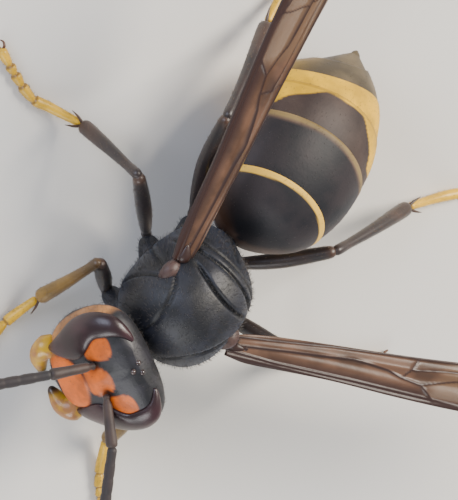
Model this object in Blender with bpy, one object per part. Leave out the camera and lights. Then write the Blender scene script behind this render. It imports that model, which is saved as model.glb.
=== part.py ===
"""Asian hornet, the dark nigrithorax form: a life-size worker on its feet, wings half opened.

The hornet faces -Y with its left side at +X and its feet on z = 0. Sizes are in millimetres, in
a frame whose z axis passes through the middle of the thorax, and become metres where a mesh is
made. The whole figure is then moved so that the origin lies under the middle of its bounds.
"""

import math

import bmesh
import bpy
from mathutils import Matrix, Vector

MM = 0.001
GAP = 0.3
SOCKET_GAP = 0.4
SHARP_ANGLE = math.radians(40.0)

THORAX_HEIGHT = 4.6
THORAX_SHIFT = -0.12
THORAX_PITCH = 5.3
THORAX_SEAMS = (0.85, 1.75)
SEAM_WIDTH = 0.16
SEAM_DEPTH = 0.16
TEGULA_PATH = ((2.12, -0.7, 1.1), (2.12, -0.1, 1.4), (2.12, 0.5, 1.25))
TEGULA_PROFILE = ((0.0, 0.3), (0.5, 0.5), (1.0, 0.3))
HEAD_CENTRE = Vector((-0.68, -4.59, 4.68))
HEAD_YAW = -11.0
HEAD_PITCH = -22.0
HEAD_ROLL = 0.0
CLYPEUS_BULGE = 0.16
CLYPEUS_HALF_WIDTH = 1.05
CLYPEUS_HALF_HEIGHT = 0.85
CLYPEUS_CENTRE = -1.3
EYE_LEAN = 0.32
EYE_NOTCH = 0.42
EYE_NOTCH_HEIGHT = 0.55
MANDIBLE_PATH = ((1.62, -0.05, -2.42), (1.5, -0.5, -2.78), (1.05, -0.85, -3.0), (0.36, -0.95, -3.05))
MANDIBLE_PROFILE = ((0.0, 0.42), (0.4, 0.4), (0.8, 0.28), (1.0, 0.16))

PETIOLE = Vector((0.0, 3.57, 3.5))
GASTER_RISE = 0.85
GASTER_LENGTH = 10.2
GASTER_HALF_WIDTH = 3.38
GASTER_HALF_HEIGHT = 2.78
GASTER_WIDEST = 4.6
GASTER_TIP = Vector((-1.1, 13.35, 1.75))
TERGITE_ENDS = (2.35, 4.95, 6.85, 8.0, 9.2, GASTER_LENGTH)
TERGITE_STEP = 0.07
WAIST_HALF = 0.5
TIP_HALF = 0.1

FOREWING_LENGTH = 17.5
HINDWING_LENGTH = 12.0
WING_THICKNESS = 0.5
HINDWING_BACK = 0.9
HINDWING_SHIFT = {"right": -0.3, "left": 0.4}
VEIN_HEIGHT = 0.14
WING_SAG = 0.001

BLACK = (0.02, 0.018, 0.02)
BROWN = (0.09, 0.045, 0.025)
ORANGE = (0.6, 0.2, 0.04)
YELLOW = (0.75, 0.42, 0.06)
AMBER = (0.3, 0.12, 0.04)

# Sections of the thorax from its neck to its waist: place on the long axis, half width, top, bottom.
THORAX_SECTIONS = (
    (-2.85, 0.65, 0.5, -0.5),
    (-2.6, 1.35, 1.05, -1.1),
    (-2.1, 2.05, 1.8, -1.8),
    (-1.2, 2.45, 2.45, -2.4),
    (0.0, 2.5, 2.62, -2.6),
    (1.0, 2.42, 2.48, -2.5),
    (1.8, 2.2, 2.1, -2.25),
    (2.4, 1.95, 1.35, -1.95),
    (3.0, 1.45, 0.3, -1.6),
    (3.4, 0.6, -0.4, -1.2),
)

# Sections of the head from crown to mouth: height, half width, front, back.
HEAD_SECTIONS = (
    (-2.25, 0.95, 1.0, 0.2),
    (-1.85, 1.8, 1.35, 0.55),
    (-1.0, 2.55, 1.45, 0.9),
    (0.0, 2.85, 1.35, 1.1),
    (0.9, 2.8, 1.15, 1.15),
    (1.6, 2.42, 0.85, 1.05),
    (2.05, 1.7, 0.55, 0.75),
    (2.25, 0.8, 0.25, 0.35),
)

# The middle line of the left eye from crown to cheek: height, side, forward, half breadth, depth.
EYE_SECTIONS = (
    (-1.5, 1.9, -0.75, 0.35, 0.28),
    (-0.9, 2.14, -0.66, 0.7, 0.45),
    (0.0, 2.3, -0.42, 0.88, 0.52),
    (0.9, 2.18, -0.22, 0.84, 0.52),
    (1.5, 1.84, -0.1, 0.66, 0.45),
    (2.0, 1.36, -0.02, 0.3, 0.25),
)

# Each leg's hip, knee and ankle, then two places that its foot passes over the floor.
LEGS = {
    "front_right": ((-1.7, -1.8, 1.8), (-3.75, -1.6, 3.55), (-3.3, -4.1, 0.85), (-3.3, -6.2), (-3.1, -7.8)),
    "front_left": ((1.6, -2.4, 1.7), (2.85, -4.6, 3.1), (3.8, -5.85, 0.75), (5.3, -7.2), (6.6, -8.0)),
    "middle_right": ((-2.1, 1.1, 1.75), (-5.8, 1.9, 4.65), (-7.55, 2.3, 0.85), (-9.9, 1.5), (-12.5, 1.85)),
    "middle_left": ((2.1, 1.1, 1.75), (5.5, 2.0, 4.5), (7.4, 2.5, 0.85), (9.3, 4.1), (11.0, 5.9)),
    "hind_right": ((-1.85, 2.8, 1.2), (-4.6, 6.55, 4.4), (-4.71, 11.3, 1.1), (-4.95, 14.2), (-5.6, 17.4)),
    "hind_left": ((1.7, 2.9, 1.25), (3.9, 6.5, 3.8), (6.34, 10.85, 1.1), (8.3, 13.4), (10.6, 16.0)),
}

# Roots of the coxae under the thorax, in its own frame.
COXA_ROOTS = {"front": (0.85, -1.9, -1.4), "middle": (1.05, 0.4, -1.9), "hind": (0.9, 1.9, -1.6)}

# Half thickness of each piece of a leg along its length, by share of the length.
FEMUR_PROFILE = ((0.0, 0.26), (0.2, 0.31), (0.55, 0.37), (0.85, 0.34), (1.0, 0.27))
TIBIA_PROFILE = ((0.0, 0.22), (0.2, 0.27), (0.7, 0.34), (1.0, 0.3))
COXA_PROFILE = ((0.0, 0.75), (0.6, 0.54), (1.0, 0.33))
TARSOMERE_ENDS = (0.0, 0.45, 0.62, 0.74, 0.83, 1.0)
TARSUS_THICK = 0.28
TARSUS_THIN = 0.25
FOOT_HEIGHT = 0.24
LEG_BOW = Vector((0.0, 0.0, 0.1))
THIGH_BOWS = {"hind_right": Vector((-0.3, -0.2, -0.25)), "hind_left": Vector((0.1, -0.1, -0.05))}
HIP_GAP = 0.45
FOLD_GAP = 0.25

# The feelers: socket on the head, then the ways of scape and flagellum in the figure's frame.
FEELERS = {
    "right": ((-0.65, -1.35, 0.5), (-0.62, -0.8, 0.14), (-0.53, -0.8, -0.2)),
    "left": ((0.65, -1.45, 0.5), (0.77, -0.62, 0.2), (0.69, -0.71, -0.12)),
}
SCAPE_LENGTH = 2.0
SCAPE_GAP = 0.38
SCAPE_PROFILE = ((0.0, 0.25), (1.0, 0.27))
FLAGELLUM_LENGTH = 7.2
FLAGELLUM_PROFILE = ((0.0, 0.23), (0.15, 0.26), (0.8, 0.27), (1.0, 0.18))
FLAGELLUM_DROOP = 0.18

# Each wing's root on the thorax and the way it points, in the figure's frame, with its roll.
WINGS = {
    "right": ((-2.62, 1.26, 6.38), (-0.458, 0.85, 0.263), 8.0),
    "left": ((2.98, 0.33, 5.72), (0.794, 0.588, 0.154), 0.0),
}

# Edges of the folded forewing: distance from its root, leading edge, trailing edge.
FOREWING_EDGES = (
    (0.0, 0.36, -0.3),
    (1.6, 0.5, -0.66),
    (4.1, 0.72, -0.68),
    (7.4, 1.08, -0.74),
    (10.4, 1.24, -0.86),
    (13.4, 1.16, -1.04),
    (15.8, 0.74, -1.06),
    (17.0, 0.2, -0.92),
    (FOREWING_LENGTH, -0.25, -0.66),
)
HINDWING_EDGES = (
    (0.0, 0.1, -0.45),
    (2.0, 0.0, -0.85),
    (5.0, 0.0, -0.9),
    (8.0, -0.05, -0.85),
    (10.6, -0.15, -0.7),
    (HINDWING_LENGTH, -0.3, -0.5),
)

# The middle vein of each wing: distance from the root, share of the way to the trailing edge.
FOREWING_VEIN = ((0.0, 0.55), (4.3, 0.69), (6.2, 0.7), (8.6, 0.43), (10.2, 0.6), (FOREWING_LENGTH, 0.6))
HINDWING_VEIN = ((0.0, 0.5), (5.0, 0.55), (HINDWING_LENGTH, 0.5))
FOREWING_CROSSINGS = ((9.1, 0.0, 0.5), (12.4, 0.1, 0.6), (9.9, 0.6, 1.0))
HINDWING_CROSSINGS = ((6.2, 0.0, 0.5),)
VEIN_FOOT = 0.09


def rotation(yaw, pitch, roll):
    """A turn about z, then tilts about the turned x and y axes, all in degrees."""
    turn = Matrix.Rotation(math.radians(yaw), 3, "Z")
    tilt = Matrix.Rotation(math.radians(pitch), 3, "X")
    return turn @ tilt @ Matrix.Rotation(math.radians(roll), 3, "Y")


THORAX_ORIGIN = Vector((THORAX_SHIFT, 0.0, THORAX_HEIGHT))
THORAX_TURN = rotation(0.0, -THORAX_PITCH, 0.0)
HEAD_TURN = rotation(HEAD_YAW, HEAD_PITCH, HEAD_ROLL)


def on_thorax(point):
    """A point of the thorax's own frame, in the figure's frame."""
    return THORAX_ORIGIN + THORAX_TURN @ Vector(point)


def on_head(point):
    """A point of the head's own frame, in the figure's frame."""
    return HEAD_CENTRE + HEAD_TURN @ Vector(point)


def along(table, x):
    """The values at x on a smooth curve through a table's rows of (x, value, value, ...)."""
    x = min(max(x, table[0][0]), table[-1][0])
    last = len(table) - 1
    i = next(k for k in range(last) if x <= table[k + 1][0])
    before, here, there, after = (table[min(max(k, 0), last)] for k in range(i - 1, i + 3))
    span = there[0] - here[0]
    s = (x - here[0]) / span
    values = []
    for a, b, c, d in zip(before[1:], here[1:], there[1:], after[1:]):
        leaving = (c - a) / (there[0] - before[0]) * span
        arriving = (d - b) / (after[0] - here[0]) * span
        values.append(
            b * (2 * s**3 - 3 * s**2 + 1)
            + leaving * (s**3 - 2 * s**2 + s)
            + c * (3 * s**2 - 2 * s**3)
            + arriving * (s**3 - s**2)
        )
    return values


def material(name, colour, roughness):
    """A plain material of one colour."""
    made = bpy.data.materials.new(name)
    made.use_nodes = True
    shader = made.node_tree.nodes["Principled BSDF"]
    shader.inputs["Base Color"].default_value = (*colour, 1.0)
    shader.inputs["Roughness"].default_value = roughness
    shader.inputs["Metallic"].default_value = 0.0
    return made


def add_object(name, bm, colour, roughness=0.45, origin=(0.0, 0.0, 0.0), turn=None):
    """An object made of a mesh drawn in millimetres about its own origin."""
    bmesh.ops.recalc_face_normals(bm, faces=bm.faces)
    if bm.calc_volume(signed=True) < 0.0:
        bmesh.ops.reverse_faces(bm, faces=bm.faces)
    bmesh.ops.scale(bm, vec=(MM, MM, MM), verts=bm.verts)
    mesh = bpy.data.meshes.new(name)
    bm.to_mesh(mesh)
    bm.free()
    mesh.materials.append(material(name, colour, roughness))
    mesh.shade_smooth()
    mesh.set_sharp_from_angle(angle=SHARP_ANGLE)
    made = bpy.data.objects.new(name, mesh)
    bpy.context.collection.objects.link(made)
    made.location = Vector(origin) * MM
    if turn is not None:
        made.rotation_euler = turn.to_euler()
    return made


def round_body(sides, stations, place):
    """A closed body from a sphere whose points move to place(station, angle)."""
    bm = bmesh.new()
    bmesh.ops.create_uvsphere(bm, u_segments=sides, v_segments=stations, radius=1.0)
    for vert in bm.verts:
        slope = math.acos(min(max(vert.co.z, -1.0), 1.0))
        station = round(slope / math.pi * stations)
        vert.co = Vector(place(station, math.atan2(vert.co.y, vert.co.x)))
    return bm


def squared(angle, power):
    """Cosine and sine of an angle, swollen towards a square where the power is under one."""
    c, s = math.cos(angle), math.sin(angle)
    return math.copysign(abs(c) ** power, c), math.copysign(abs(s) ** power, s)


def ring_places(length, near, far, count):
    """Distances of a limb's rings from its start: round at both ends and even between."""
    bend = (0.13, 0.5, 1.0)
    inner = length - near - far
    middle = [near + inner * k / (count + 1) for k in range(1, count + 1)]
    return [near * b for b in bend] + middle + [length - far * b for b in reversed(bend)]


def end_rounding(distance, radius):
    """Share of the full radius at a distance from a round end."""
    short = max(1.0 - distance / radius, 0.0)
    return math.sqrt(max(1.0 - short * short, 0.0))


def limb_body(points, profile, sides=10, rings=4, flat=1.0):
    """A limb with round ends through a few points, its half thickness given along its length."""
    spots = [Vector(p) for p in points]
    stretches = [0.0]
    for a, b in zip(spots, spots[1:]):
        stretches.append(stretches[-1] + (b - a).length)
    length = stretches[-1]
    path = [(s, *p) for s, p in zip(stretches, spots)]
    near, far = profile[0][1], profile[-1][1]
    places = [0.0] + ring_places(length, near, far, rings) + [length]
    step = length / 50.0

    def place(station, angle):
        here = places[station]
        centre = Vector(along(path, here))
        ahead = Vector(along(path, min(here + step, length)))
        heading = (ahead - Vector(along(path, max(here - step, 0.0)))).normalized()
        across = heading.cross(Vector((0.0, 0.0, 1.0))).normalized()
        above = across.cross(heading)
        radius = along(profile, here / length)[0]
        radius *= end_rounding(here, near) * end_rounding(length - here, far)
        return centre + across * radius * math.cos(angle) + above * radius * flat * math.sin(angle)

    return round_body(sides, len(places) - 1, place)


def largest_piece(mesh):
    """Keeps only the closed surface of the largest area in a mesh."""
    bm = bmesh.new()
    bm.from_mesh(mesh)
    left = set(bm.faces)
    pieces = []
    while left:
        piece = set()
        queue = [left.pop()]
        while queue:
            face = queue.pop()
            piece.add(face)
            for edge in face.edges:
                for other in edge.link_faces:
                    if other in left:
                        left.remove(other)
                        queue.append(other)
        size = sum(face.calc_area() for face in piece)
        pieces.append((size, len(pieces), piece))
    largest = max(pieces, key=lambda item: item[:2])[2]
    scraps = [face for face in bm.faces if face not in largest]
    bmesh.ops.delete(bm, geom=scraps, context="FACES")
    bm.to_mesh(mesh)
    bm.free()


def combine(target, others, operation):
    """Joins closed objects to a target, or cuts them from it, in one Boolean step."""
    group = bpy.data.collections.new(target.name + "_pieces")
    bpy.context.scene.collection.children.link(group)
    for other in others:
        bpy.context.collection.objects.unlink(other)
        group.objects.link(other)
    step = target.modifiers.new("pieces", "BOOLEAN")
    step.operation = operation
    step.operand_type = "COLLECTION"
    step.collection = group
    step.solver = "EXACT"
    bpy.context.view_layer.update()
    seen = target.evaluated_get(bpy.context.evaluated_depsgraph_get())
    joined = bpy.data.meshes.new_from_object(seen)
    target.modifiers.remove(step)
    target.data = joined
    for other in others:
        bpy.data.objects.remove(other)
    bpy.data.collections.remove(group)
    largest_piece(joined)
    while len(joined.materials) > 1:
        joined.materials.pop()
    joined.shade_smooth()
    joined.set_sharp_from_angle(angle=SHARP_ANGLE)


def coxa_root(leg):
    """Where a leg's coxa leaves the thorax."""
    pair, side = leg.split("_")
    x, y, z = COXA_ROOTS[pair]
    return on_thorax((x if side == "left" else -x, y, z))


def thorax():
    """The thorax with its wing scales and the six coxae under it."""
    sections = 22
    first, last = THORAX_SECTIONS[0][0], THORAX_SECTIONS[-1][0]

    def place(station, angle):
        share = min(max((station - 1) / (sections - 2), 0.0), 1.0)
        y = first + (last - first) * share
        half, top, bottom = along(THORAX_SECTIONS, y)
        if station in (0, sections):
            return 0.0, y, (top + bottom) / 2
        c, s = squared(angle, 0.92)
        back = max(s, 0.0) ** 4
        dip = sum(math.exp(-(((y - seam) / SEAM_WIDTH) ** 2)) for seam in THORAX_SEAMS)
        z = (top + bottom) / 2 + s * (top - bottom) / 2 - SEAM_DEPTH * back * dip
        return half * c, y, z

    shell = round_body(32, sections, place)
    body = add_object("thorax", shell, BLACK, 0.4, THORAX_ORIGIN, THORAX_TURN)
    extras = []
    for side in (-1, 1):
        spots = [on_thorax((side * x, y, z)) for x, y, z in TEGULA_PATH]
        extras.append(add_object("tegula", limb_body(spots, TEGULA_PROFILE, 10, 3, 0.75), BLACK))
    for leg, joints in LEGS.items():
        coxa = limb_body([coxa_root(leg), joints[0]], COXA_PROFILE, 12, 1)
        extras.append(add_object("coxa", coxa, BLACK))
    combine(body, extras, "UNION")
    return body


def eye_body(side, grown=0.0):
    """A kidney-shaped eye, notched on the side of the antenna, or its socket if grown."""
    stations = 14
    low, high = EYE_SECTIONS[0][0], EYE_SECTIONS[-1][0]

    def place(station, angle):
        turn = math.pi * station / stations
        z = (low + high) / 2 + (high - low + 2 * grown) / 2 * math.cos(turn)
        x, y, breadth, depth = along(EYE_SECTIONS, z)
        if station in (0, stations):
            return side * x, y, z
        c, s = math.cos(angle), math.sin(angle)
        notch = EYE_NOTCH * math.exp(-(((z - EYE_NOTCH_HEIGHT) / EYE_NOTCH) ** 2)) if s < 0 else 0.0
        fade = math.sqrt(math.sin(turn))
        outward = c * (depth + grown) * fade
        forward = s * ((breadth - notch * -s) + grown) * fade
        return side * (x + outward + forward * EYE_LEAN), y + forward - outward * EYE_LEAN, z

    return round_body(18, stations, place)


def head():
    """The head's shell with sockets cut for the eyes, and its eyes, jaws and feelers."""
    sections = 20
    low, high = HEAD_SECTIONS[0][0], HEAD_SECTIONS[-1][0]

    def place(station, angle):
        share = min(max((station - 1) / (sections - 2), 0.0), 1.0)
        z = high + (low - high) * (share - math.sin(share * 2 * math.pi) * 0.06)
        half, front, back = along(HEAD_SECTIONS, z)
        if station in (0, sections):
            return 0.0, (back - front) / 2, z
        c, s = squared(angle, 0.88)
        face = max(-s, 0.0)
        across = half * c / CLYPEUS_HALF_WIDTH
        above = (z - CLYPEUS_CENTRE) / CLYPEUS_HALF_HEIGHT
        bulge = CLYPEUS_BULGE * math.exp(-(across**4 + above**4))
        y = s * (front if s < 0 else back)
        return half * c, y - bulge * face, z

    shell = add_object("head", round_body(36, sections, place), BLACK, 0.45, HEAD_CENTRE, HEAD_TURN)
    sockets = []
    for side in (-1, 1):
        socket = add_object("socket", eye_body(side, SOCKET_GAP), BLACK, 0.4, HEAD_CENTRE, HEAD_TURN)
        socket.hide_render = True
        socket.display_type = "WIRE"
        sockets.append(socket)
    combine(shell, sockets, "DIFFERENCE")
    for side, word in ((-1, "right"), (1, "left")):
        add_object("eye_" + word, eye_body(side), BROWN, 0.25, HEAD_CENTRE, HEAD_TURN)
        mandible(side, word)


def mandible(side, word):
    """One jaw, broad at the cheek and pointed under the mouth."""
    spots = [Vector((side * x, y, z)) for x, y, z in MANDIBLE_PATH]
    jaw = limb_body(spots, MANDIBLE_PROFILE, 10, 4, 0.85)
    add_object("mandible_" + word, jaw, ORANGE, 0.4, HEAD_CENTRE, HEAD_TURN)


def feelers():
    """Both antennae: a scape from the face, then a flagellum that droops to its tip."""
    for word, (socket, first, second) in FEELERS.items():
        root = on_head(socket)
        first = Vector(first).normalized()
        second = Vector(second).normalized()
        start = root + first * SCAPE_GAP
        elbow = start + first * SCAPE_LENGTH
        scape = limb_body([start - start, elbow - start], SCAPE_PROFILE, 10, 3)
        add_object("scape_" + word, scape, BROWN, 0.45, start)
        begin = elbow + second * GAP
        half = begin + second * FLAGELLUM_LENGTH / 2
        droop = Vector((0.0, 0.0, -FLAGELLUM_DROOP))
        tip = half + (second + droop).normalized() * FLAGELLUM_LENGTH / 2
        spots = [p - begin for p in (begin, half, tip)]
        flagellum = limb_body(spots, FLAGELLUM_PROFILE, 10, 10)
        add_object("flagellum_" + word, flagellum, BLACK, 0.5, begin)


def gaster_size(s):
    """Half width of the gaster at a distance behind the waist, as a share of its greatest."""
    if s < GASTER_WIDEST:
        return (1.0 - ((GASTER_WIDEST - s) / GASTER_WIDEST) ** 2.4) ** 0.5
    return (1.0 - ((s - GASTER_WIDEST) / (GASTER_LENGTH - GASTER_WIDEST)) ** 2.4) ** 1.05


def gaster():
    """The six rings of the gaster, each reaching a little over the next."""
    base = PETIOLE + Vector((0.0, 0.0, GASTER_RISE))
    axis = (GASTER_TIP - base).normalized()
    yaw = math.degrees(math.atan2(-axis.x, axis.y))
    pitch = math.degrees(math.asin(axis.z))
    turn = rotation(yaw, pitch, 0.0)
    stations = 8
    starts = (GAP * 0.8,) + TERGITE_ENDS[:-1]
    for number, (start, end) in enumerate(zip(starts, TERGITE_ENDS), 1):
        first = start + GAP / 2
        last = end - GAP / 2 if end < GASTER_LENGTH else end

        def place(station, angle):
            share = min(max((station - 1) / (stations - 2), 0.0), 1.0)
            s = first + (last - first) * share
            sink = GASTER_RISE * max(1.0 - s / 1.3, 0.0) ** 2
            if station in (0, stations):
                return 0.0, s, -sink
            size = max(gaster_size(s), 0.02)
            lip = TERGITE_STEP * (share if end < GASTER_LENGTH else 0.0)
            half = GASTER_HALF_WIDTH * size + lip
            tall = GASTER_HALF_HEIGHT * size + lip
            if end == GASTER_LENGTH:
                half += TIP_HALF
                tall += TIP_HALF
            else:
                half = max(half, WAIST_HALF)
                tall = max(tall, WAIST_HALF)
            return half * math.cos(angle), s, tall * math.sin(angle) - sink

        colour = YELLOW if number in (4, 6) else BLACK
        body = round_body(32, stations, place)
        add_object("gaster_%d" % number, body, colour, 0.4, base, turn)


def foot_path(ankle, bend, end):
    """Points of a foot from its ankle down to the floor and along it."""
    rest = Vector((*bend, FOOT_HEIGHT))
    touch = ankle.lerp(rest, 0.6)
    touch.z = FOOT_HEIGHT + 0.1
    return [ankle.copy(), touch, rest, Vector((*end, FOOT_HEIGHT))]


def tarsus_profile():
    """Half thickness along a foot of five joints, each wider at its far end."""
    rows = []
    for start, end in zip(TARSOMERE_ENDS, TARSOMERE_ENDS[1:]):
        rows.append((start + 0.02 if start else 0.0, TARSUS_THIN))
        rows.append((end - 0.02 if end < 1.0 else 1.0, TARSUS_THICK))
    return tuple(rows)


def joint_gap(before, after):
    """Gap between two pieces of a leg, wider where the leg folds back on itself."""
    return GAP + FOLD_GAP * max(-before.dot(after) * 2.0, 0.0)


def leg(name, joints):
    """Thigh, shin and foot, each a gap away from the joint before it."""
    hip, knee, ankle = (Vector(joint) for joint in joints[:3])
    coxa = (hip - coxa_root(name)).normalized()
    coxa_half = COXA_PROFILE[-1][1]
    knee_half = FEMUR_PROFILE[-1][1]
    ankle_half = TIBIA_PROFILE[-1][1]
    thigh = (knee - hip).normalized()
    shin = (ankle - knee).normalized()
    femur_start = hip - coxa * coxa_half + thigh * (coxa_half + HIP_GAP)
    bend = femur_start.lerp(knee, 0.5) + THIGH_BOWS.get(name, LEG_BOW)
    spots = [p - femur_start for p in (femur_start, bend, knee)]
    add_object("femur_" + name, limb_body(spots, FEMUR_PROFILE, 10, 4), BLACK, 0.4, femur_start)
    shin_start = knee - thigh * knee_half + shin * (knee_half + joint_gap(thigh, shin))
    bend = shin_start.lerp(ankle, 0.5) + LEG_BOW
    spots = [p - shin_start for p in (shin_start, bend, ankle)]
    add_object("tibia_" + name, limb_body(spots, TIBIA_PROFILE, 10, 4), BROWN, 0.4, shin_start)
    route = foot_path(ankle, *joints[3:])
    lead = (route[1] - route[0]).normalized()
    route[0] = ankle - shin * ankle_half + lead * (ankle_half + GAP)
    spots = [p - route[0] for p in route]
    foot = limb_body(spots, tarsus_profile(), 8, 12)
    for vert in foot.verts:
        vert.co.z = max(vert.co.z, -route[0].z)
    add_object("tarsus_" + name, foot, YELLOW, 0.45, route[0])


def wing_frame(heading, roll):
    """A wing's way out, its way to the leading edge and its way up."""
    forward = Vector(heading).normalized()
    outward = 1 if heading[0] > 0 else -1
    chord = forward.cross(Vector((0.0, 0.0, 1.0))).normalized() * outward
    chord = Matrix.Rotation(math.radians(roll), 3, forward) @ chord
    return forward, chord, chord.cross(forward) * outward


def wing(name, root, frame, edges, vein, crossings, columns):
    """A folded wing as a plate whose veins stand up in its own surface."""
    length = edges[-1][0]
    forward, chord, normal = frame
    stops = [length * (k / columns) ** 0.95 for k in range(columns + 1)]
    for where, _, _ in crossings:
        near = min(stops[1:-1], key=lambda u: abs(u - where))
        stops[stops.index(near)] = where
    bm = bmesh.new()
    rows = 9
    bmesh.ops.create_grid(bm, x_segments=columns, y_segments=rows, size=1.0)
    ridge = bm.verts.layers.float.new("ridge")
    for vert in bm.verts:
        u = stops[round((vert.co.x + 1.0) / 2 * columns)]
        row = round((vert.co.y + 1.0) / 2 * rows)
        lead, trail = along(edges, u)
        middle = along(vein, u)[0]
        shares = (0.0, 0.07, 0.2, middle - VEIN_FOOT, middle, middle + VEIN_FOOT)
        shares += (0.5 + middle / 2 + 0.03, 0.9, 0.95, 1.0)
        share = sorted(shares)[row]
        raised = 0.0
        if row in (1, 8):
            raised = VEIN_HEIGHT
        elif row == 4:
            raised = VEIN_HEIGHT * min((length - u) / 2.0, 1.0)
        for where, low, high in crossings:
            if u == where and low <= share <= high:
                raised = VEIN_HEIGHT
        vert[ridge] = raised
        across = lead + (trail - lead) * share
        height = WING_THICKNESS / 2 + raised - WING_SAG * u * u
        vert.co = forward * u + chord * across + normal * height
    bmesh.ops.triangulate(bm, faces=bm.faces)
    copied = bmesh.ops.extrude_face_region(bm, geom=bm.faces[:] + bm.edges[:] + bm.verts[:])["geom"]
    for vert in copied:
        if isinstance(vert, bmesh.types.BMVert):
            vert.co -= normal * (WING_THICKNESS + vert[ridge])
    bmesh.ops.triangulate(bm, faces=bm.faces)
    return add_object(name, bm, AMBER, 0.35, root)


def wings():
    """Both forewings, with each hindwing a gap below."""
    drop = WING_THICKNESS + GAP + VEIN_HEIGHT
    for word, (root, heading, roll) in WINGS.items():
        frame = wing_frame(heading, roll)
        forward, chord, normal = frame
        fore = (FOREWING_EDGES, FOREWING_VEIN, FOREWING_CROSSINGS, 24)
        wing("forewing_" + word, root, frame, *fore)
        below = Vector(root) + forward * HINDWING_BACK - normal * drop + chord * HINDWING_SHIFT[word]
        hind = (HINDWING_EDGES, HINDWING_VEIN, HINDWING_CROSSINGS, 14)
        wing("hindwing_" + word, below, frame, *hind)


def settle():
    """Moves the whole figure until the origin lies under the middle of its bounds."""
    bpy.context.view_layer.update()
    solids = [o for o in bpy.data.objects if o.type == "MESH"]
    corners = [o.matrix_world @ v.co for o in solids for v in o.data.vertices]
    centre_x = (max(c.x for c in corners) + min(c.x for c in corners)) / 2
    centre_y = (max(c.y for c in corners) + min(c.y for c in corners)) / 2
    body = bpy.data.objects.new("hornet", None)
    bpy.context.collection.objects.link(body)
    body.location = (-centre_x, -centre_y, 0.0)
    for solid in solids:
        solid.parent = body


def main():
    """Builds the hornet from its thorax out."""
    for old in list(bpy.data.objects):
        bpy.data.objects.remove(old)
    thorax()
    head()
    feelers()
    gaster()
    for name, joints in LEGS.items():
        leg(name, joints)
    wings()
    settle()


main()
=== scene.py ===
"""Asian hornet, the dark nigrithorax form: the skin, eyes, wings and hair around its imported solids.

Shapes are drawn in millimetres in the solids' own frame: the hornet faces -Y, its left side is
at +X, its feet are on z = 0 and the z axis passes through the thorax. FIGURE_SHIFT then moves
them to the row's frame, in metres.
"""

import math
import random

import bmesh
import bpy
from bpy.props import FloatProperty, FloatVectorProperty, IntProperty, PointerProperty
from mathutils import Matrix, Vector


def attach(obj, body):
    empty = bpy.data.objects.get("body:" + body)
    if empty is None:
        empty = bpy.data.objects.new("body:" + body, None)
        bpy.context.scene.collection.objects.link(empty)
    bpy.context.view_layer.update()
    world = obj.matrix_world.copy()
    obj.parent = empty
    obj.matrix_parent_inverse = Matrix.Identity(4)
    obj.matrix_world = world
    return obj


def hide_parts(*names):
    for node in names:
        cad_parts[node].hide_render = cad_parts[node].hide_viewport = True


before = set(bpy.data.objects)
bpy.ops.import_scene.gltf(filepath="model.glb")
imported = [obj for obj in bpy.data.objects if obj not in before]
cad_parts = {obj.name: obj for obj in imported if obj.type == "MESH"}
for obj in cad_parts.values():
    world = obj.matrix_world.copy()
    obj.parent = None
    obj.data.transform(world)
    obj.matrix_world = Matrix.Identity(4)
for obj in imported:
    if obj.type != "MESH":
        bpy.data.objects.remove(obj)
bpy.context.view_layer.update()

bl_info = {
    "name": "Asian hornet",
    "version": (1, 0, 0),
    "blender": (4, 5, 0),
    "location": "3D View > Sidebar > Hornet",
    "description": "Builds the skin, eyes, wings, legs and hair of a life-size Asian hornet",
    "category": "Mesh",
}

MM = 0.001
UP = Vector((0.0, 0.0, 1.0))
FIGURE_SHIFT = Vector((-2.14789, -2.00585, 0.0))

# Points round the thorax and the head; shares of a limb's round end at which its points stand.
SKIN_SIDES = 150
END_STATIONS = (0.06, 0.25, 0.6, 1.0)

THORAX_ORIGIN = Vector((-0.12, 0.0, 4.6))
THORAX_PITCH = 5.3
HEAD_CENTRE = Vector((-0.68, -4.59, 4.68))
HEAD_YAW = -15.0
HEAD_PITCH = -22.0

PETIOLE = Vector((0.0, 3.57, 3.5))
GASTER_RISE = 0.85
GASTER_LENGTH = 10.2
GASTER_HALF_WIDTH = 3.38
GASTER_HALF_HEIGHT = 2.78
GASTER_WIDEST = 4.6
GASTER_TIP = Vector((-1.1, 13.35, 1.75))
TERGITE_ENDS = (2.35, 4.95, 6.85, 8.0, 9.2, GASTER_LENGTH)
RING_TUCK = 0.35
PLATE_STEP = 0.05

# How each ring's rear edge runs, from the waist on: reach on the back, lean to the left, shift forward.
RING_SLANTS = (
    (0.0, 0.0, 0.0), (0.72, 0.0, 0.14), (0.8, 0.05, 0.0), (0.8, 0.25, 0.0),
    (0.66, 0.75, 0.0), (0.3, 0.5, 0.0), (0.0, 0.0, 0.0),
)

# Front border of the yellow on the third ring: degrees from the middle of the back, place on the axis.
YELLOW_FRONT = (
    (0.0, 7.0), (15.0, 6.98), (25.0, 6.88), (37.0, 6.37), (49.0, 5.9), (58.0, 5.3), (180.0, 5.2),
)

# Sections of the thorax from its neck to its waist: place on the long axis, half width, top, bottom.
THORAX_SECTIONS = (
    (-2.85, 0.65, 0.5, -0.5),
    (-2.6, 1.35, 1.05, -1.1),
    (-2.1, 2.05, 1.8, -1.8),
    (-1.2, 2.45, 2.45, -2.4),
    (0.0, 2.5, 2.62, -2.6),
    (1.0, 2.42, 2.48, -2.5),
    (1.8, 2.2, 2.1, -2.25),
    (2.4, 1.95, 1.35, -1.95),
    (3.0, 1.45, 0.3, -1.6),
    (3.4, 0.6, -0.4, -1.2),
)

# The edge between pronotum and scutum: place on the long axis, distance from the middle.
PRONOTUM_EDGE = ((-2.8, 0.8), (-2.3, 1.02), (-1.68, 1.34), (-0.5, 1.82), (0.0, 2.1))

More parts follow.
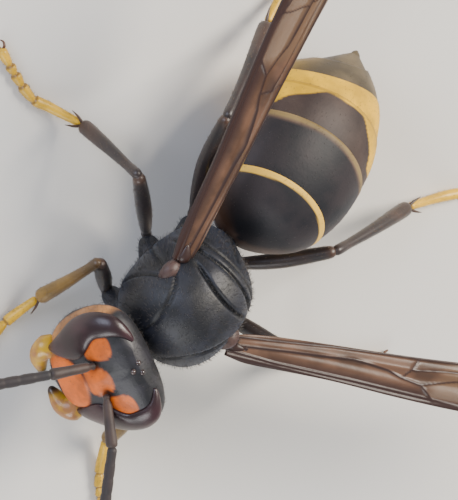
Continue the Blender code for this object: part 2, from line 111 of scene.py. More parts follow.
# Depths of its collar, scutellar, metanotal and rear grooves, of the scutum's middle line and side
# lines, and of the flank, lobe and cleft behind.
GROOVE_DEPTHS = (0.14, 0.2, 0.16, 0.1, 0.02, 0.02, 0.1, 0.1, 0.1)

# How square the head is in front and behind, and where its antennal sockets are.
FACE_POWER, NAPE_POWER = 0.88, 0.72
SOCKET_SIDE, SOCKET_HEIGHT = 0.7, 0.68

# Sections of the head from mouth to crown: height, half width, front, back.
HEAD_SECTIONS = (
    (-2.25, 0.95, 0.95, 0.2),
    (-1.85, 1.85, 1.2, 0.55),
    (-1.0, 2.5, 1.34, 0.88),
    (0.0, 2.8, 1.3, 1.08),
    (0.9, 2.88, 1.12, 1.16),
    (1.6, 2.68, 0.85, 1.12),
    (2.05, 2.15, 0.55, 0.88),
    (2.3, 0.95, 0.25, 0.4),
)

# Borders of the left eye from cheek to crown: share of its length, inner border, outer border.
EYE_BORDERS = (
    (0.0, 1.3, -1.0, -1.62, 1.75, -0.85, -1.6),
    (0.14, 1.26, -1.15, -1.25, 2.15, -0.92, -1.15),
    (0.28, 1.2, -1.3, -0.62, 2.46, -0.8, -0.63),
    (0.42, 1.16, -1.28, 0.0, 2.72, -0.52, -0.04),
    (0.54, 1.4, -1.13, 0.52, 2.8, -0.34, 0.54),
    (0.68, 1.86, -0.9, 1.08, 2.66, -0.2, 1.05),
    (0.8, 1.76, -0.72, 1.48, 2.3, -0.02, 1.45),
    (0.92, 1.22, -0.28, 1.8, 1.75, 0.18, 1.78),
    (1.0, 0.86, -0.08, 2.0, 1.28, 0.28, 1.95),
)
EYE_BULGE = 0.24
EYE_DEPTH = 0.4
OCELLI = ((-0.25, -0.18, 2.29), (0.23, -0.18, 2.29), (0.0, -0.5, 2.13))
OCELLUS_RADIUS = 0.13
EYE_OUTER = tuple(sorted((row[6], row[5]) for row in EYE_BORDERS))

# Each leg's hip, knee and ankle, then two places that its foot passes over the floor.
LEGS = {
    "front_right": ((-1.7, -1.8, 1.8), (-3.75, -1.6, 3.55), (-3.3, -4.1, 0.85), (-3.3, -6.2), (-3.1, -7.8)),
    "front_left": ((1.6, -2.4, 1.7), (2.85, -4.6, 3.1), (3.8, -5.85, 0.75), (5.3, -7.2), (6.6, -8.0)),
    "middle_right": ((-2.1, 1.1, 1.75), (-5.8, 1.9, 4.65), (-7.55, 2.3, 0.85), (-9.9, 1.5), (-12.5, 1.85)),
    "middle_left": ((2.1, 1.1, 1.75), (5.5, 2.0, 4.5), (7.4, 2.5, 0.85), (9.3, 4.1), (11.0, 5.9)),
    "hind_right": ((-1.2, 3.1, 1.9), (-4.6, 6.55, 4.4), (-4.71, 11.3, 1.1), (-4.95, 14.2), (-5.6, 17.4)),
    "hind_left": ((1.7, 2.9, 1.25), (3.9, 6.5, 3.8), (6.34, 10.85, 1.1), (8.3, 13.4), (10.6, 16.0)),
}
THIGH_BOWS = {"hind_right": Vector((-0.05, -0.05, -0.4)), "hind_left": Vector((0.1, -0.1, -0.05))}
LEG_BOW = UP * 0.1
COXA_ROOTS = {"front": (0.85, -1.9, -1.4), "middle": (1.05, 0.4, -1.9), "hind": (0.9, 1.9, -1.6)}
COXA_PROFILE = ((0.0, 0.65), (0.6, 0.5), (0.9, 0.38), (1.0, 0.3))
FEMUR_PROFILE = ((0.0, 0.2), (0.06, 0.24), (0.1, 0.2), (0.16, 0.26), (0.5, 0.35), (0.85, 0.31), (1.0, 0.26))
TIBIA_PROFILE = ((0.0, 0.2), (0.06, 0.24), (0.2, 0.22), (0.7, 0.31), (0.94, 0.33), (1.0, 0.26))
TARSOMERE_ENDS = (0.0, 0.45, 0.62, 0.74, 0.83, 1.0)
FOOT_HEIGHT = 0.24
CLAW_LENGTH = 0.42

# The feelers: socket on the head, then the ways of scape and flagellum in the figure's frame.
FEELERS = {
    "right": ((-0.68, -1.05, 0.68), (-0.62, -0.8, 0.14), (-0.53, -0.8, -0.2)),
    "left": ((0.72, -1.1, 0.6), (0.77, -0.62, 0.2), (0.69, -0.71, -0.12)),
}
SCAPE_LENGTH = 2.35
FLAGELLUM_LENGTH = 7.45
FLAGELLUM_DROOP = 0.18
FLAGELLOMERES = 11
SCAPE_PROFILE = ((0.0, 0.12), (0.05, 0.17), (0.1, 0.13), (0.2, 0.2), (0.6, 0.23), (0.95, 0.26), (1.0, 0.2))
FLAGELLUM_PROFILE = ((0.0, 0.19), (0.12, 0.23), (0.8, 0.25), (1.0, 0.19))

# Each wing's root on the thorax and the way it points, in the figure's frame, with its roll.
WINGS = {
    "right": ((-2.62, 1.26, 6.38), (-0.458, 0.85, 0.263), 8.0),
    "left": ((2.98, 0.33, 5.72), (0.794, 0.588, 0.154), 0.0),
}
WING_HINGES = {"right": (-2.1, 0.4, 1.5), "left": (2.2, 0.15, 1.35)}
HINDWING_BACK = 0.9
HINDWING_DROP = 0.6
HINDWING_SHIFT = {"right": -0.3, "left": 0.4}
WING_SAG = 0.001
VEIN_MARGIN = 0.25
HINGE_PROFILE = ((0.0, 0.3), (0.3, 0.3), (0.7, 0.2), (1.0, 0.06))
TIE_PROFILE = ((0.0, 0.16), (0.6, 0.14), (1.0, 0.06))
WING_HORN = {"vein": 0.8, "smoky": 1.0}

# Edges of the folded wings: distance from the root, leading edge, trailing edge.
FOREWING_EDGES = (
    (-0.8, 0.48, -0.42),
    (0.0, 0.66, -0.55),
    (0.8, 0.72, -0.62),
    (1.6, 0.74, -0.66),
    (4.1, 0.82, -0.7),
    (7.4, 1.08, -0.74),
    (10.4, 1.24, -0.86),
    (13.4, 1.16, -1.04),
    (15.8, 0.74, -1.06),
    (17.0, 0.2, -0.92),
    (17.5, -0.25, -0.66),
)
HINDWING_EDGES = (
    (0.0, 0.05, -0.4),
    (2.0, 0.0, -0.85),
    (5.0, 0.0, -0.9),
    (8.0, -0.05, -0.85),
    (10.6, -0.15, -0.7),
    (12.0, -0.3, -0.5),
)

# Veins of the folded wings: half width, then points by distance from the root and share of the width.
FOREWING_VEINS = (
    (0.09, ((-0.8, 0.04), (8.0, 0.03), (12.0, 0.03), (17.0, 0.08))),
    (0.055, ((-0.8, 0.3), (1.5, 0.2), (5.0, 0.15), (8.8, 0.13), (10.4, 0.08))),
    (0.06, ((-0.8, 0.55), (2.0, 0.62), (3.9, 0.66), (4.95, 0.72), (5.8, 0.66), (6.6, 0.6), (7.3, 0.48),
            (8.2, 0.4))),
    (0.05, ((8.2, 0.4), (8.75, 0.16), (8.96, 0.08))),
    (0.045, ((7.3, 0.48), (7.6, 0.7), (7.96, 0.96))),
    (0.045, ((8.2, 0.41), (9.0, 0.51), (9.75, 0.6), (12.0, 0.62), (13.8, 0.56), (15.5, 0.6))),
    (0.04, ((7.6, 0.7), (8.85, 0.77), (9.67, 0.79), (12.2, 0.82))),
    (0.04, ((11.0, 0.1), (11.3, 0.35), (11.7, 0.61))),
    (0.04, ((12.6, 0.12), (12.9, 0.4), (13.1, 0.6))),
    (0.04, ((10.6, 0.09), (12.6, 0.24), (14.2, 0.24), (15.6, 0.1))),
    (0.035, ((11.9, 0.62), (12.2, 0.82), (12.9, 0.97))),
    (0.06, ((-0.8, 0.95), (4.0, 0.96), (8.0, 0.98), (16.5, 0.98))),
)
HINDWING_VEINS = (
    (0.06, ((0.0, 0.05), (6.0, 0.04), (11.8, 0.1))),
    (0.04, ((0.0, 0.4), (4.0, 0.45), (7.0, 0.4), (11.5, 0.45))),
    (0.035, ((5.8, 0.05), (6.3, 0.44))),
    (0.035, ((4.0, 0.46), (5.0, 0.75), (7.5, 0.95))),
)

# Camera: the photo's centre in the figure's frame, and the ways to its right, top and lens.
VIEW_CENTRE = Vector((-0.415, 2.722, 4.987))
VIEW_RIGHT = Vector((0.58, 0.684, 0.444))
VIEW_UP = Vector((-0.682, 0.705, -0.191))
VIEW_HEIGHT = 21.28
VIEW_DISTANCE = 600.0
SENSOR = 36.0

# Lights: name, place and size in metres, power in watts, colour.
LIGHTS = (
    ("key", (0.02, 0.12, 0.13), 0.09, 0.55, "#FFF6E8"),
    ("fill", (-0.13, -0.04, 0.09), 0.1, 0.16, "#DCE6FF"),
    ("front", (0.05, -0.14, 0.07), 0.09, 0.14, "#FFFFFF"),
)
LIGHTS_AIM = (0.0, 0.0, 0.004)
SKY_STRENGTH = 0.55
FLOOR_HALF = 0.6


def linear(code):
    """An sRGB hex colour as linear red, green and blue."""
    channels = [int(code[i : i + 2], 16) / 255.0 for i in (1, 3, 5)]
    return tuple(c / 12.92 if c <= 0.04045 else ((c + 0.055) / 1.055) ** 2.4 for c in channels)


def colour_property(name, description, code):
    """A colour that the panel shows."""
    looks = {"subtype": "COLOR", "size": 3, "min": 0.0, "max": 1.0}
    return FloatVectorProperty(name=name, description=description, default=linear(code), **looks)


def length_property(name, description, default, least=0.0):
    """A length that the panel shows, its default and least value given in millimetres."""
    limits = {"unit": "LENGTH", "min": least * MM, "default": default * MM}
    return FloatProperty(name=name, description=description, **limits)


class HornetSizes(bpy.types.PropertyGroup):
    """Sizes of the hornet's finer parts."""

    membrane: length_property("Wing membrane", "Thickness of a wing between its veins", 0.04, 0.01)
    vein_height: length_property("Vein height", "How far veins stand out of each side of a wing", 0.05)
    tergite_lip: length_property("Tergite lip", "How far each ring of the gaster stands over the next", 0.07)
    pile_length: length_property("Pile length", "Length of the short hairs on the thorax", 0.22, 0.05)
    pile_count: IntProperty(
        name="Pile count", description="Hairs on the thorax", default=6500, min=0, max=15000
    )


class HornetColours(bpy.types.PropertyGroup):
    """Colours of the hornet's parts."""

    black: colour_property("Black", "Cuticle of the thorax and the back of the head", "#17171B")
    orange: colour_property("Orange", "Face plates", "#DA6400")
    gena: colour_property("Cheek", "Cheeks behind the eyes", "#AC7440")
    yellow: colour_property("Yellow", "Feet and bright bands", "#DDAC18")
    pale: colour_property("Pale yellow", "Thin rear edge of the first ring", "#E2B548")
    brown: colour_property("Brown", "Shins and sides of the gaster", "#452E20")
    olive: colour_property("Olive", "Last two rings of the gaster", "#655842")
    amber: colour_property("Amber", "Membrane of the wings", "#5E4332")
    vein: colour_property("Vein", "Veins and leading edge of the wings", "#301D18")
    eye: colour_property("Eye", "Compound eyes", "#2E171B")
    floor: colour_property("Floor", "Floor of the stage", "#D9D6D0")


def sizes():
    """The sizes that the panel shows."""
    return bpy.context.scene.hornet_sizes


def colours():
    """The colours that the panel shows."""
    return bpy.context.scene.hornet_colours


def placed(origin, yaw, pitch):
    """A part's own frame at an origin, turned about z and then tilted about the turned x axis."""
    turn = Matrix.Rotation(math.radians(yaw), 4, "Z") @ Matrix.Rotation(math.radians(pitch), 4, "X")
    return Matrix.Translation(origin) @ turn


def gaster_place():
    """The gaster's own frame: its long axis is y, from the waist to the tip."""
    base = PETIOLE + UP * GASTER_RISE
    axis = (GASTER_TIP - base).normalized()
    return placed(base, math.degrees(math.atan2(-axis.x, axis.y)), math.degrees(math.asin(axis.z)))


THORAX_PLACE = placed(THORAX_ORIGIN, 0.0, -THORAX_PITCH)
HEAD_PLACE = placed(HEAD_CENTRE, HEAD_YAW, HEAD_PITCH)


def along(table, x):
    """The values at x on a smooth curve through a table's rows of (x, value, value, ...)."""
    x = min(max(x, table[0][0]), table[-1][0])
    last = len(table) - 1
    i = next(k for k in range(last) if x <= table[k + 1][0])
    before, here, there, after = (table[min(max(k, 0), last)] for k in range(i - 1, i + 3))
    span = there[0] - here[0]
    s = (x - here[0]) / span
    values = []
    for a, b, c, d in zip(before[1:], here[1:], there[1:], after[1:]):
        leaving = (c - a) / (there[0] - before[0]) * span
        arriving = (d - b) / (after[0] - here[0]) * span
        values.append(
            b * (2 * s**3 - 3 * s**2 + 1)
            + leaving * (s**3 - 2 * s**2 + s)
            + c * (3 * s**2 - 2 * s**3)
            + arriving * (s**3 - s**2)
        )
    return values


def clamped(value):
    """A value held between 0 and 1."""
    return min(max(value, 0.0), 1.0)


def soft(value, edge, width):
    """0 below an edge and 1 above it, with a soft step of a width between."""
    t = clamped((value - edge) / width + 0.5)
    return t * t * (3 - 2 * t)


def below(value, edge, width):
    """1 below an edge and 0 above it, with a soft step of a width between."""
    return 1.0 - soft(value, edge, width)


def hump(value, centre, half):
    """A smooth rise to 1 at a centre, gone beyond about twice its half width."""
    return math.exp(-(((value - centre) / half) ** 2))


def oval(x, z, centre_x, centre_z, half_x, half_z, edge, power=2.6):
    """1 inside a swollen oval and 0 outside it, with a soft edge."""
    reach = abs((x - centre_x) / half_x) ** power + abs((z - centre_z) / half_z) ** power
    return below(reach ** (1 / power), 1.0, edge)


def squared(angle, power):
    """Cosine and sine of an angle, swollen towards a square where the power is under one."""
    c, s = math.cos(angle), math.sin(angle)
    return math.copysign(abs(c) ** power, c), math.copysign(abs(s) ** power, s)


def round_body(sides, stations, place):
    """A closed body of rings between two end points, its points at place(station, angle).

    Its layers "around" and "down" hold each point's share of the way round and along.
    """
    bm = bmesh.new()
    around = bm.verts.layers.float.new("around")
    down = bm.verts.layers.float.new("down")

    def point(station, share):
        vert = bm.verts.new(place(station, (share - 0.5) * 2 * math.pi))
        vert[around], vert[down] = share, station / stations
        return vert

    shares = [(0.75 + k / sides) % 1.0 for k in range(sides)]
    start, end = point(0, 0.5), point(stations, 0.5)
    rings = [[point(station, share) for share in shares] for station in range(1, stations)]
    for k in range(sides):
        bm.faces.new((start, rings[0][k - 1], rings[0][k]))
        bm.faces.new((end, rings[-1][k], rings[-1][k - 1]))
        for upper, lower in zip(rings, rings[1:]):
            bm.faces.new((upper[k], upper[k - 1], lower[k - 1], lower[k]))
    return bm


def end_rounding(distance, radius):
    """Share of the full radius at a distance from a round end."""
    short = max(1.0 - distance / radius, 0.0)
    return math.sqrt(max(1.0 - short * short, 0.0))


def limb_body(points, profile, sides, rings, flat=1.0, **marks):
    """A limb with round ends through a few points, its half thickness given along its length.

    Each mark is a number, or a function of the share of the way from start to end.
    """
    spots = [Vector(p) for p in points]
    stretches = [0.0]
    for a, b in zip(spots, spots[1:]):
        stretches.append(stretches[-1] + (b - a).length)
    length = stretches[-1]
    path = [(s, *p) for s, p in zip(stretches, spots)]
    near, far = profile[0][1], profile[-1][1]
    inner = length - near - far
    places = [0.0] + [near * share for share in END_STATIONS]
    places += [near + inner * k / (rings + 1) for k in range(1, rings + 1)]
    places += [length - far * share for share in reversed(END_STATIONS)] + [length]
    stations = len(places) - 1
    step = length / 50.0

    def place(station, angle):
        here = places[station]
        centre = Vector(along(path, here))
        ahead = Vector(along(path, min(here + step, length)))
        heading = (ahead - Vector(along(path, max(here - step, 0.0)))).normalized()
        across = heading.cross(UP).normalized()
        above = across.cross(heading)
        radius = along(profile, here / length)[0]
        radius *= end_rounding(here, near) * end_rounding(length - here, far)
        return centre + across * radius * math.cos(angle) + above * radius * flat * math.sin(angle)

    bm = round_body(sides, stations, place)
    down = bm.verts.layers.float["down"]
    for name, value in marks.items():
        layer = bm.verts.layers.float.new(name)
        for vert in bm.verts:
            share = places[round(vert[down] * stations)] / length
            vert[layer] = value(share) if callable(value) else value
    return bm


def paint(bm, masks):
    """Layers of marks on a mesh, each from a function of a point in the mesh's own frame."""
    for name, mask in masks.items():
        layer = bm.verts.layers.float.new(name)
        for vert in bm.verts:
            vert[layer] = clamped(mask(vert.co))


def outward(bm):
    """Turns all faces of a closed body outwards."""
    bmesh.ops.recalc_face_normals(bm, faces=bm.faces)
    if bm.calc_volume(signed=True) < 0.0:
        bmesh.ops.reverse_faces(bm, faces=bm.faces)


def merged(bodies):
    """One bmesh of several closed bodies, layers kept by name: a mark that a body lacks is 0 there."""
    whole = bmesh.new()
    scratch = bpy.data.meshes.new("scratch")
    for body in bodies:
        outward(body)
        body.to_mesh(scratch)
        body.free()
        whole.from_mesh(scratch)
        scratch.clear_geometry()
    bpy.data.meshes.remove(scratch)
    return whole


def seat(name, mesh, material, replaces=()):
    """An object at the origin from a finished mesh, riding on the one body."""
    mesh.shade_smooth()
    mesh.materials.append(material)
    made = bpy.data.objects.new(name, mesh)
    bpy.context.scene.collection.objects.link(made)
    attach(made, "root")
    if replaces:
        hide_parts(*replaces)


def finish_piece(name, bm, material, replaces=(), place=Matrix.Identity(4), closed=True):
    """A piece from a mesh drawn in millimetres in the frame of its place."""
    if closed:
        outward(bm)
    bmesh.ops.transform(bm, matrix=place, verts=bm.verts)
    bmesh.ops.translate(bm, vec=FIGURE_SHIFT, verts=bm.verts)
    bmesh.ops.scale(bm, vec=(MM, MM, MM), verts=bm.verts)
    mesh = bpy.data.meshes.new(name)
    bm.to_mesh(mesh)
    bm.free()
    seat(name, mesh, material, replaces)


def add(tree, kind, settings=None, links=None):
    """A node with its settings, which are input values or properties, and its linked inputs."""
    made = tree.nodes.new(kind)
    for key, value in (settings or {}).items():
        if isinstance(key, int) or key in made.inputs:
            made.inputs[key].default_value = value
        else:
            setattr(made, key, value)
    for key, source in (links or {}).items():
        tree.links.new(source, made.inputs[key])
    return made


def mottled(tree, dark, light, scale):
    """A colour that drifts between two over a fine noise, scale in patches a metre."""
    spot = add(tree, "ShaderNodeTexCoord").outputs["Object"]
    noise = add(tree, "ShaderNodeTexNoise", {"Scale": scale, "Detail": 4.0}, {"Vector": spot})
    ramp = add(tree, "ShaderNodeValToRGB", {}, {"Fac": noise.outputs["Fac"]})
    for element, position, colour in zip(ramp.color_ramp.elements, (0.4, 0.6), (dark, light)):
        element.position, element.color = position, (*colour, 1.0)
    return ramp.outputs["Color"]


def marked(tree, under, mark, over):
    """A colour with another, plain or from a socket, laid over it where a mark is."""
    where = add(tree, "ShaderNodeAttribute", {"attribute_name": mark}).outputs["Fac"]
    made = add(tree, "ShaderNodeMix", {"data_type": "RGBA"}, {0: where, 6: under})
    if isinstance(over, bpy.types.NodeSocket):
        tree.links.new(over, made.inputs[7])
    else:
        made.inputs[7].default_value = (*over, 1.0)
    return made.outputs[2]


# Patterns of bump: texture, its settings and the output that gives the height.
PATTERNS = {
    "pits": ("ShaderNodeTexVoronoi", {}, "Distance"),
    "facets": ("ShaderNodeTexVoronoi", {"Randomness": 0.35}, "Distance"),
    "grain": ("ShaderNodeTexNoise", {"Detail": 3.0}, "Fac"),
    "waves": ("ShaderNodeTexNoise", {"Detail": 2.0}, "Fac"),
}


def roughened(tree, height, patterns):
    """The normal of bump from patterns: each one's name, its scale a metre, its share of the height."""
    spot = add(tree, "ShaderNodeTexCoord").outputs["Object"]
    links = {}
    for name, scale, share in patterns:
        kind, settings, output = PATTERNS[name]
        texture = add(tree, kind, {"Scale": scale, **settings}, {"Vector": spot})
        links["Height"] = texture.outputs[output]
        bump = add(tree, "ShaderNodeBump", {"Strength": share, "Distance": height * MM}, links)
        links["Normal"] = bump.outputs["Normal"]
    return links["Normal"]


def new_material(name, sockets):
    """A material with one Principled shader, and that shader."""
    made = bpy.data.materials.new(name)
    made.use_nodes = True
    shader = made.node_tree.nodes["Principled BSDF"]
    for key, value in sockets.items():
        shader.inputs[key].default_value = value
    return made, shader


def chitin(name, gloss, base, layers=(), height=0.0, *patterns):
    """A material: a mottled base, layers laid over it where marks are, and bump in millimetres.

    A layer is a mark with one plain colour, or with dark, light and scale for a mottled one.
    """
    made, shader = new_material(name, gloss)
    tree = made.node_tree
    colour = mottled(tree, *base)
    for mark, *over in layers:
        colour = marked(tree, colour, mark, mottled(tree, *over) if len(over) > 1 else over[0])
    tree.links.new(colour, shader.inputs["Base Color"])
    if patterns:
        tree.links.new(roughened(tree, height, patterns), shader.inputs["Normal"])
    return made


def scaled(colour, factor):
    """A colour made darker or lighter."""
    return tuple(min(c * factor, 1.0) for c in colour)


def thorax_cuticle():
    """Black chitin under short pile: pits about 0.08 mm apart, and a cold sheen from the down."""
    gloss = {
        "Roughness": 0.5, "Specular IOR Level": 0.4, "IOR": 1.56,
        "Sheen Weight": 0.2, "Sheen Roughness": 0.4, "Sheen Tint": (*linear("#8FA3C4"), 1.0),
    }
    base = (scaled(colours().black, 0.8), linear("#22232B"), 900.0)
    # Brown for the wing scales, and near-black painted shade in the grooves.
    layers = (("brown", linear("#523A32")), ("seam", linear("#060607")))
    return chitin(
        "pitted_black_chitin", gloss, base, layers, 0.02, ("pits", 12000.0, 0.25), ("grain", 6000.0, 0.12)
    )


def head_cuticle():
    """Black chitin with orange plates, all lightly waxy: pits about 0.1 mm apart."""
    c = colours()
    gloss = {
        "Roughness": 0.48, "Specular IOR Level": 0.4, "IOR": 1.56, "Sheen Weight": 0.04, "Coat Weight": 0.06,
    }
    base = (scaled(c.black, 0.9), linear("#26242A"), 1200.0)
    layers = (
        ("gena", scaled(c.gena, 0.7), scaled(c.gena, 1.2), 1300.0),
        ("orange", scaled(c.orange, 0.75), scaled(c.orange, 1.12), 1500.0),
        # The last layer is the sockets' painted shade and the clypeus's dark suture line.
        ("seam", linear("#2B160F")),
    )
    return chitin(
        "face_plate_chitin", gloss, base, layers, 0.02, ("pits", 10000.0, 0.2), ("grain", 5000.0, 0.1)
    )


def gaster_cuticle():
    """Velvety dark rings with yellow bands: down gives the soft cold sheen, grain about 0.1 mm."""
    c = colours()
    gloss = {
        "Roughness": 0.55, "Specular IOR Level": 0.3, "IOR": 1.54,
        "Sheen Weight": 0.16, "Sheen Roughness": 0.35, "Sheen Tint": (*linear("#A9B2C8"), 1.0),
    }
    base = (scaled(c.black, 1.1), linear("#2C2628"), 500.0)
    layers = (
        ("brown", scaled(c.brown, 0.9), linear("#6A5446"), 450.0),
        ("olive", scaled(c.olive, 0.5), scaled(c.olive, 1.25), 450.0),
        ("yellow", scaled(c.yellow, 0.75), scaled(c.yellow, 1.1), 800.0),
        ("pale", c.pale),
        ("seam", linear("#1A0F0B")),
    )
    return chitin(
        "banded_gaster_chitin", gloss, base, layers, 0.015, ("grain", 9000.0, 0.2), ("pits", 9000.0, 0.15)
    )


def limb_cuticle(name, roughness, coat):
    """Leg and feeler chitin, dark on thigh and shin and wax yellow on the foot: grain about 0.1 mm."""
    c = colours()
    gloss = {
        "Roughness": roughness, "IOR": 1.55, "Sheen Weight": 0.1, "Coat Weight": coat, "Coat Roughness": 0.3,
    }
    layers = (
        ("brown", scaled(c.brown, 0.8), scaled(c.brown, 1.7), 900.0),
        ("yellow", scaled(c.yellow, 0.8), scaled(c.yellow, 1.08), 1200.0),
        ("seam", linear("#5A3212")),
    )
    return chitin(name, gloss, (c.black, linear("#231C1E"), 1200.0), layers, 0.02, ("grain", 9000.0, 0.5))


def eye_lens():
    """A compound eye: glossy, almost black red-brown, its facets drawn 0.06 mm across to show."""
    gloss = {"Roughness": 0.34, "IOR": 1.5, "Coat Weight": 0.2, "Coat Roughness": 0.2}
    base = (scaled(colours().eye, 0.7), scaled(colours().eye, 1.5), 700.0)
    return chitin("compound_eye", gloss, base, (), 0.02, ("facets", 16000.0, 0.35))


def ocellus_lens():
    """A simple eye: a clear dark bead."""
    gloss = {"Roughness": 0.1, "IOR": 1.5, "Coat Weight": 0.8}
    base = (linear("#241A18"), linear("#4A3A36"), 4000.0)
    return chitin("ocellus_bead", gloss, base, (), 0.005, ("waves", 8000.0, 0.2))


def jaw_chitin():
    """Hard orange jaw chitin that darkens to its teeth."""
    c = colours()
    gloss = {"Roughness": 0.32, "IOR": 1.56, "Coat Weight": 0.25, "Coat Roughness": 0.2}
    base = (scaled(c.gena, 0.9), scaled(c.yellow, 0.9), 1300.0)
    return chitin("jaw_chitin", gloss, base, (("seam", linear("#24110B")),), 0.02, ("waves", 7000.0, 0.4))


def wing_membrane():
    """Smoky amber membrane, glossy and see-through, with dark horny veins."""
    c = colours()
    gloss = {
        "Roughness": 0.4, "IOR": 1.57, "Specular IOR Level": 0.4, "Coat Weight": 0.08, "Coat Roughness": 0.25,
    }
    base = (scaled(c.amber, 0.7), scaled(c.amber, 1.3), 600.0)
    layers = (("clear", linear("#765A43")), ("smoky", scaled(c.vein, 1.2)), ("vein", c.vein))
    made = chitin("wing_membrane", gloss, base, layers, 0.02, ("waves", 2500.0, 0.5))
    tree = made.node_tree
    clear = add(tree, "ShaderNodeAttribute", {"attribute_name": "clarity"}).outputs["Fac"]
    limits = {"From Max": 1.0, "To Min": 0.98, "To Max": 0.72}
    alpha = add(tree, "ShaderNodeMapRange", limits, {"Value": clear}).outputs["Result"]
    tree.links.new(alpha, tree.nodes["Principled BSDF"].inputs["Alpha"])
    return made


def down(name, root, tip):
    """Fine stiff hair, soft in gloss."""
    return chitin(name, {"Roughness": 0.55, "IOR": 1.55, "Sheen Weight": 0.2}, (root, tip, 3000.0))


def make_thorax():
    """The thorax with its collar, scutum, scutellum and coxae, joined to a short neck and waist."""
    sections = 110
    first, last = THORAX_SECTIONS[0][0], THORAX_SECTIONS[-1][0]

    def groove(x, y, z):
        upper = soft(z, 0.6, 0.8)
        edge = along(PRONOTUM_EDGE, y)[0]
        collar = hump(abs(x), edge, 0.06) * soft(y, -2.85, 0.2) * below(y, -0.1, 0.3) * soft(z, 0.3, 0.5)
        scutellar = hump(y, 0.38 + 0.14 * x * x, 0.08) * upper * below(abs(x), 1.7, 0.4)
        metanotal = hump(y, 1.5 - 0.05 * x * x, 0.09) * soft(z, 0.2, 0.8)
        rear = hump(y, 1.95 - 0.06 * x * x, 0.08) * soft(z, 0.0, 0.8)
        middle = hump(x, 0.0, 0.05) * soft(y, -2.4, 0.4) * below(y, 0.2, 0.2) * upper
        parapsis = hump(abs(x), 0.95, 0.05) * soft(y, -1.3, 0.4) * below(y, 0.1, 0.2) * upper
        flank = hump(y + 0.35 * z, 0.25, 0.09) * below(z, 1.3, 0.4) * soft(z, -1.9, 0.4)
        lobe = hump(y - 0.35 * z, -1.0, 0.09) * below(z, 1.5, 0.3) * soft(z, -1.7, 0.4)
        cleft = hump(x, 0.0, 0.12) * soft(y, 2.3, 0.3)
        cuts = (collar, scutellar, metanotal, rear, middle, parapsis, flank, lobe, cleft)
        return sum(depth * cut for depth, cut in zip(GROOVE_DEPTHS, cuts))

    def swell(x, y, z):
        scutellum = oval(x, y, 0.0, 0.93, 1.3, 0.48, 0.5) * soft(z, 0.8, 0.8)
        scutum = oval(x, y, 0.0, -1.0, 1.6, 1.3, 0.8) * soft(z, 0.8, 0.8)
        return 0.1 * scutellum + 0.05 * scutum

    def place(station, angle):
        share = clamped((station - 1) / (sections - 2))
        y = first + (last - first) * share
        half, top, bottom = along(THORAX_SECTIONS, y)
        middle = (top + bottom) / 2
        if station in (0, sections):
            return 0.0, y, middle
        c, s = squared(angle, 0.92)
        x, z = half * c, s * (top - bottom) / 2
        depth = groove(x, y, middle + z) - swell(x, y, middle + z)
        shrink = 1.0 - depth / max(math.hypot(x, z), 0.5)
        return x * shrink, y, middle + z * shrink

    shell = round_body(SKIN_SIDES, sections, place)
    # Painted shade: the deeper grooves are coloured near black.
    paint(shell, {"seam": lambda p: soft(groove(*p), 0.05, 0.06)})
    bodies = [shell]
    back = THORAX_PLACE.inverted()
    for side in (-1, 1):
        tegula = [(side * x, y, z) for x, y, z in ((2.1, -0.7, 1.15), (2.12, -0.1, 1.42), (2.1, 0.45, 1.3))]
        bodies.append(limb_body(tegula, ((0.0, 0.22), (0.5, 0.4), (1.0, 0.24)), 24, 16, 0.75, brown=0.75))
    for leg, joints in LEGS.items():
        pair, side = leg.split("_")
        x, y, z = COXA_ROOTS[pair]
        root = THORAX_PLACE @ Vector((x if side == "left" else -x, y, z))
        bodies.append(limb_body([back @ root, back @ Vector(joints[0])], COXA_PROFILE, 28, 10))
    neck = back @ (HEAD_PLACE @ Vector((0.0, 0.6, -0.1)))
    bodies.append(limb_body([neck, (0.0, -2.4, -0.1)], ((0.0, 0.7), (1.0, 0.8)), 24, 6))
    waist = back @ (gaster_place() @ Vector((0.0, 0.5, -GASTER_RISE)))
    bodies.append(limb_body([(0.0, 3.0, -0.8), waist], ((0.0, 0.5), (0.5, 0.34), (1.0, 0.5)), 24, 8))
    return merged(bodies)


def clypeus_reach(x, z):
    """1 on the border of the clypeus, which its suture follows, and less inside it."""
    return (abs(x / 1.28) ** 3.0 + abs((z + 0.95 - 0.12 * math.cos(2.2 * x)) / 0.85) ** 3.0) ** (1 / 3.0)


def socket_reach(x, z, spread):
    """1 in the middle of the left antennal socket, fading over a spread."""
    return math.exp(-(((x - SOCKET_SIDE) ** 2 + (z - SOCKET_HEIGHT) ** 2) / spread))


def head_reach(p):
    """1 on the surface of the smooth head, less inside it."""
    half, front, back = along(HEAD_SECTIONS, p.z)
    depth, power = (front, 2 / FACE_POWER) if p.y < 0 else (back, 2 / NAPE_POWER)
    beyond = max(abs(p.z) - 2.2, 0.0) * 5.0
    return (abs(p.x) / half) ** power + (abs(p.y) / depth) ** power + beyond


def on_head(p):
    """The point where a line from the head's centre through p leaves the smooth head, and its normal."""
    low, high = 0.5, 1.6
    for _ in range(16):
        middle = (low + high) / 2
        low, high = (middle, high) if head_reach(p * middle) < 1.0 else (low, middle)
    spot = p * low
    here, step = head_reach(spot), 0.02
    slope = Vector([head_reach(spot + Vector(axis) * step) - here for axis in Matrix.Identity(3)])
    return spot, slope.normalized()


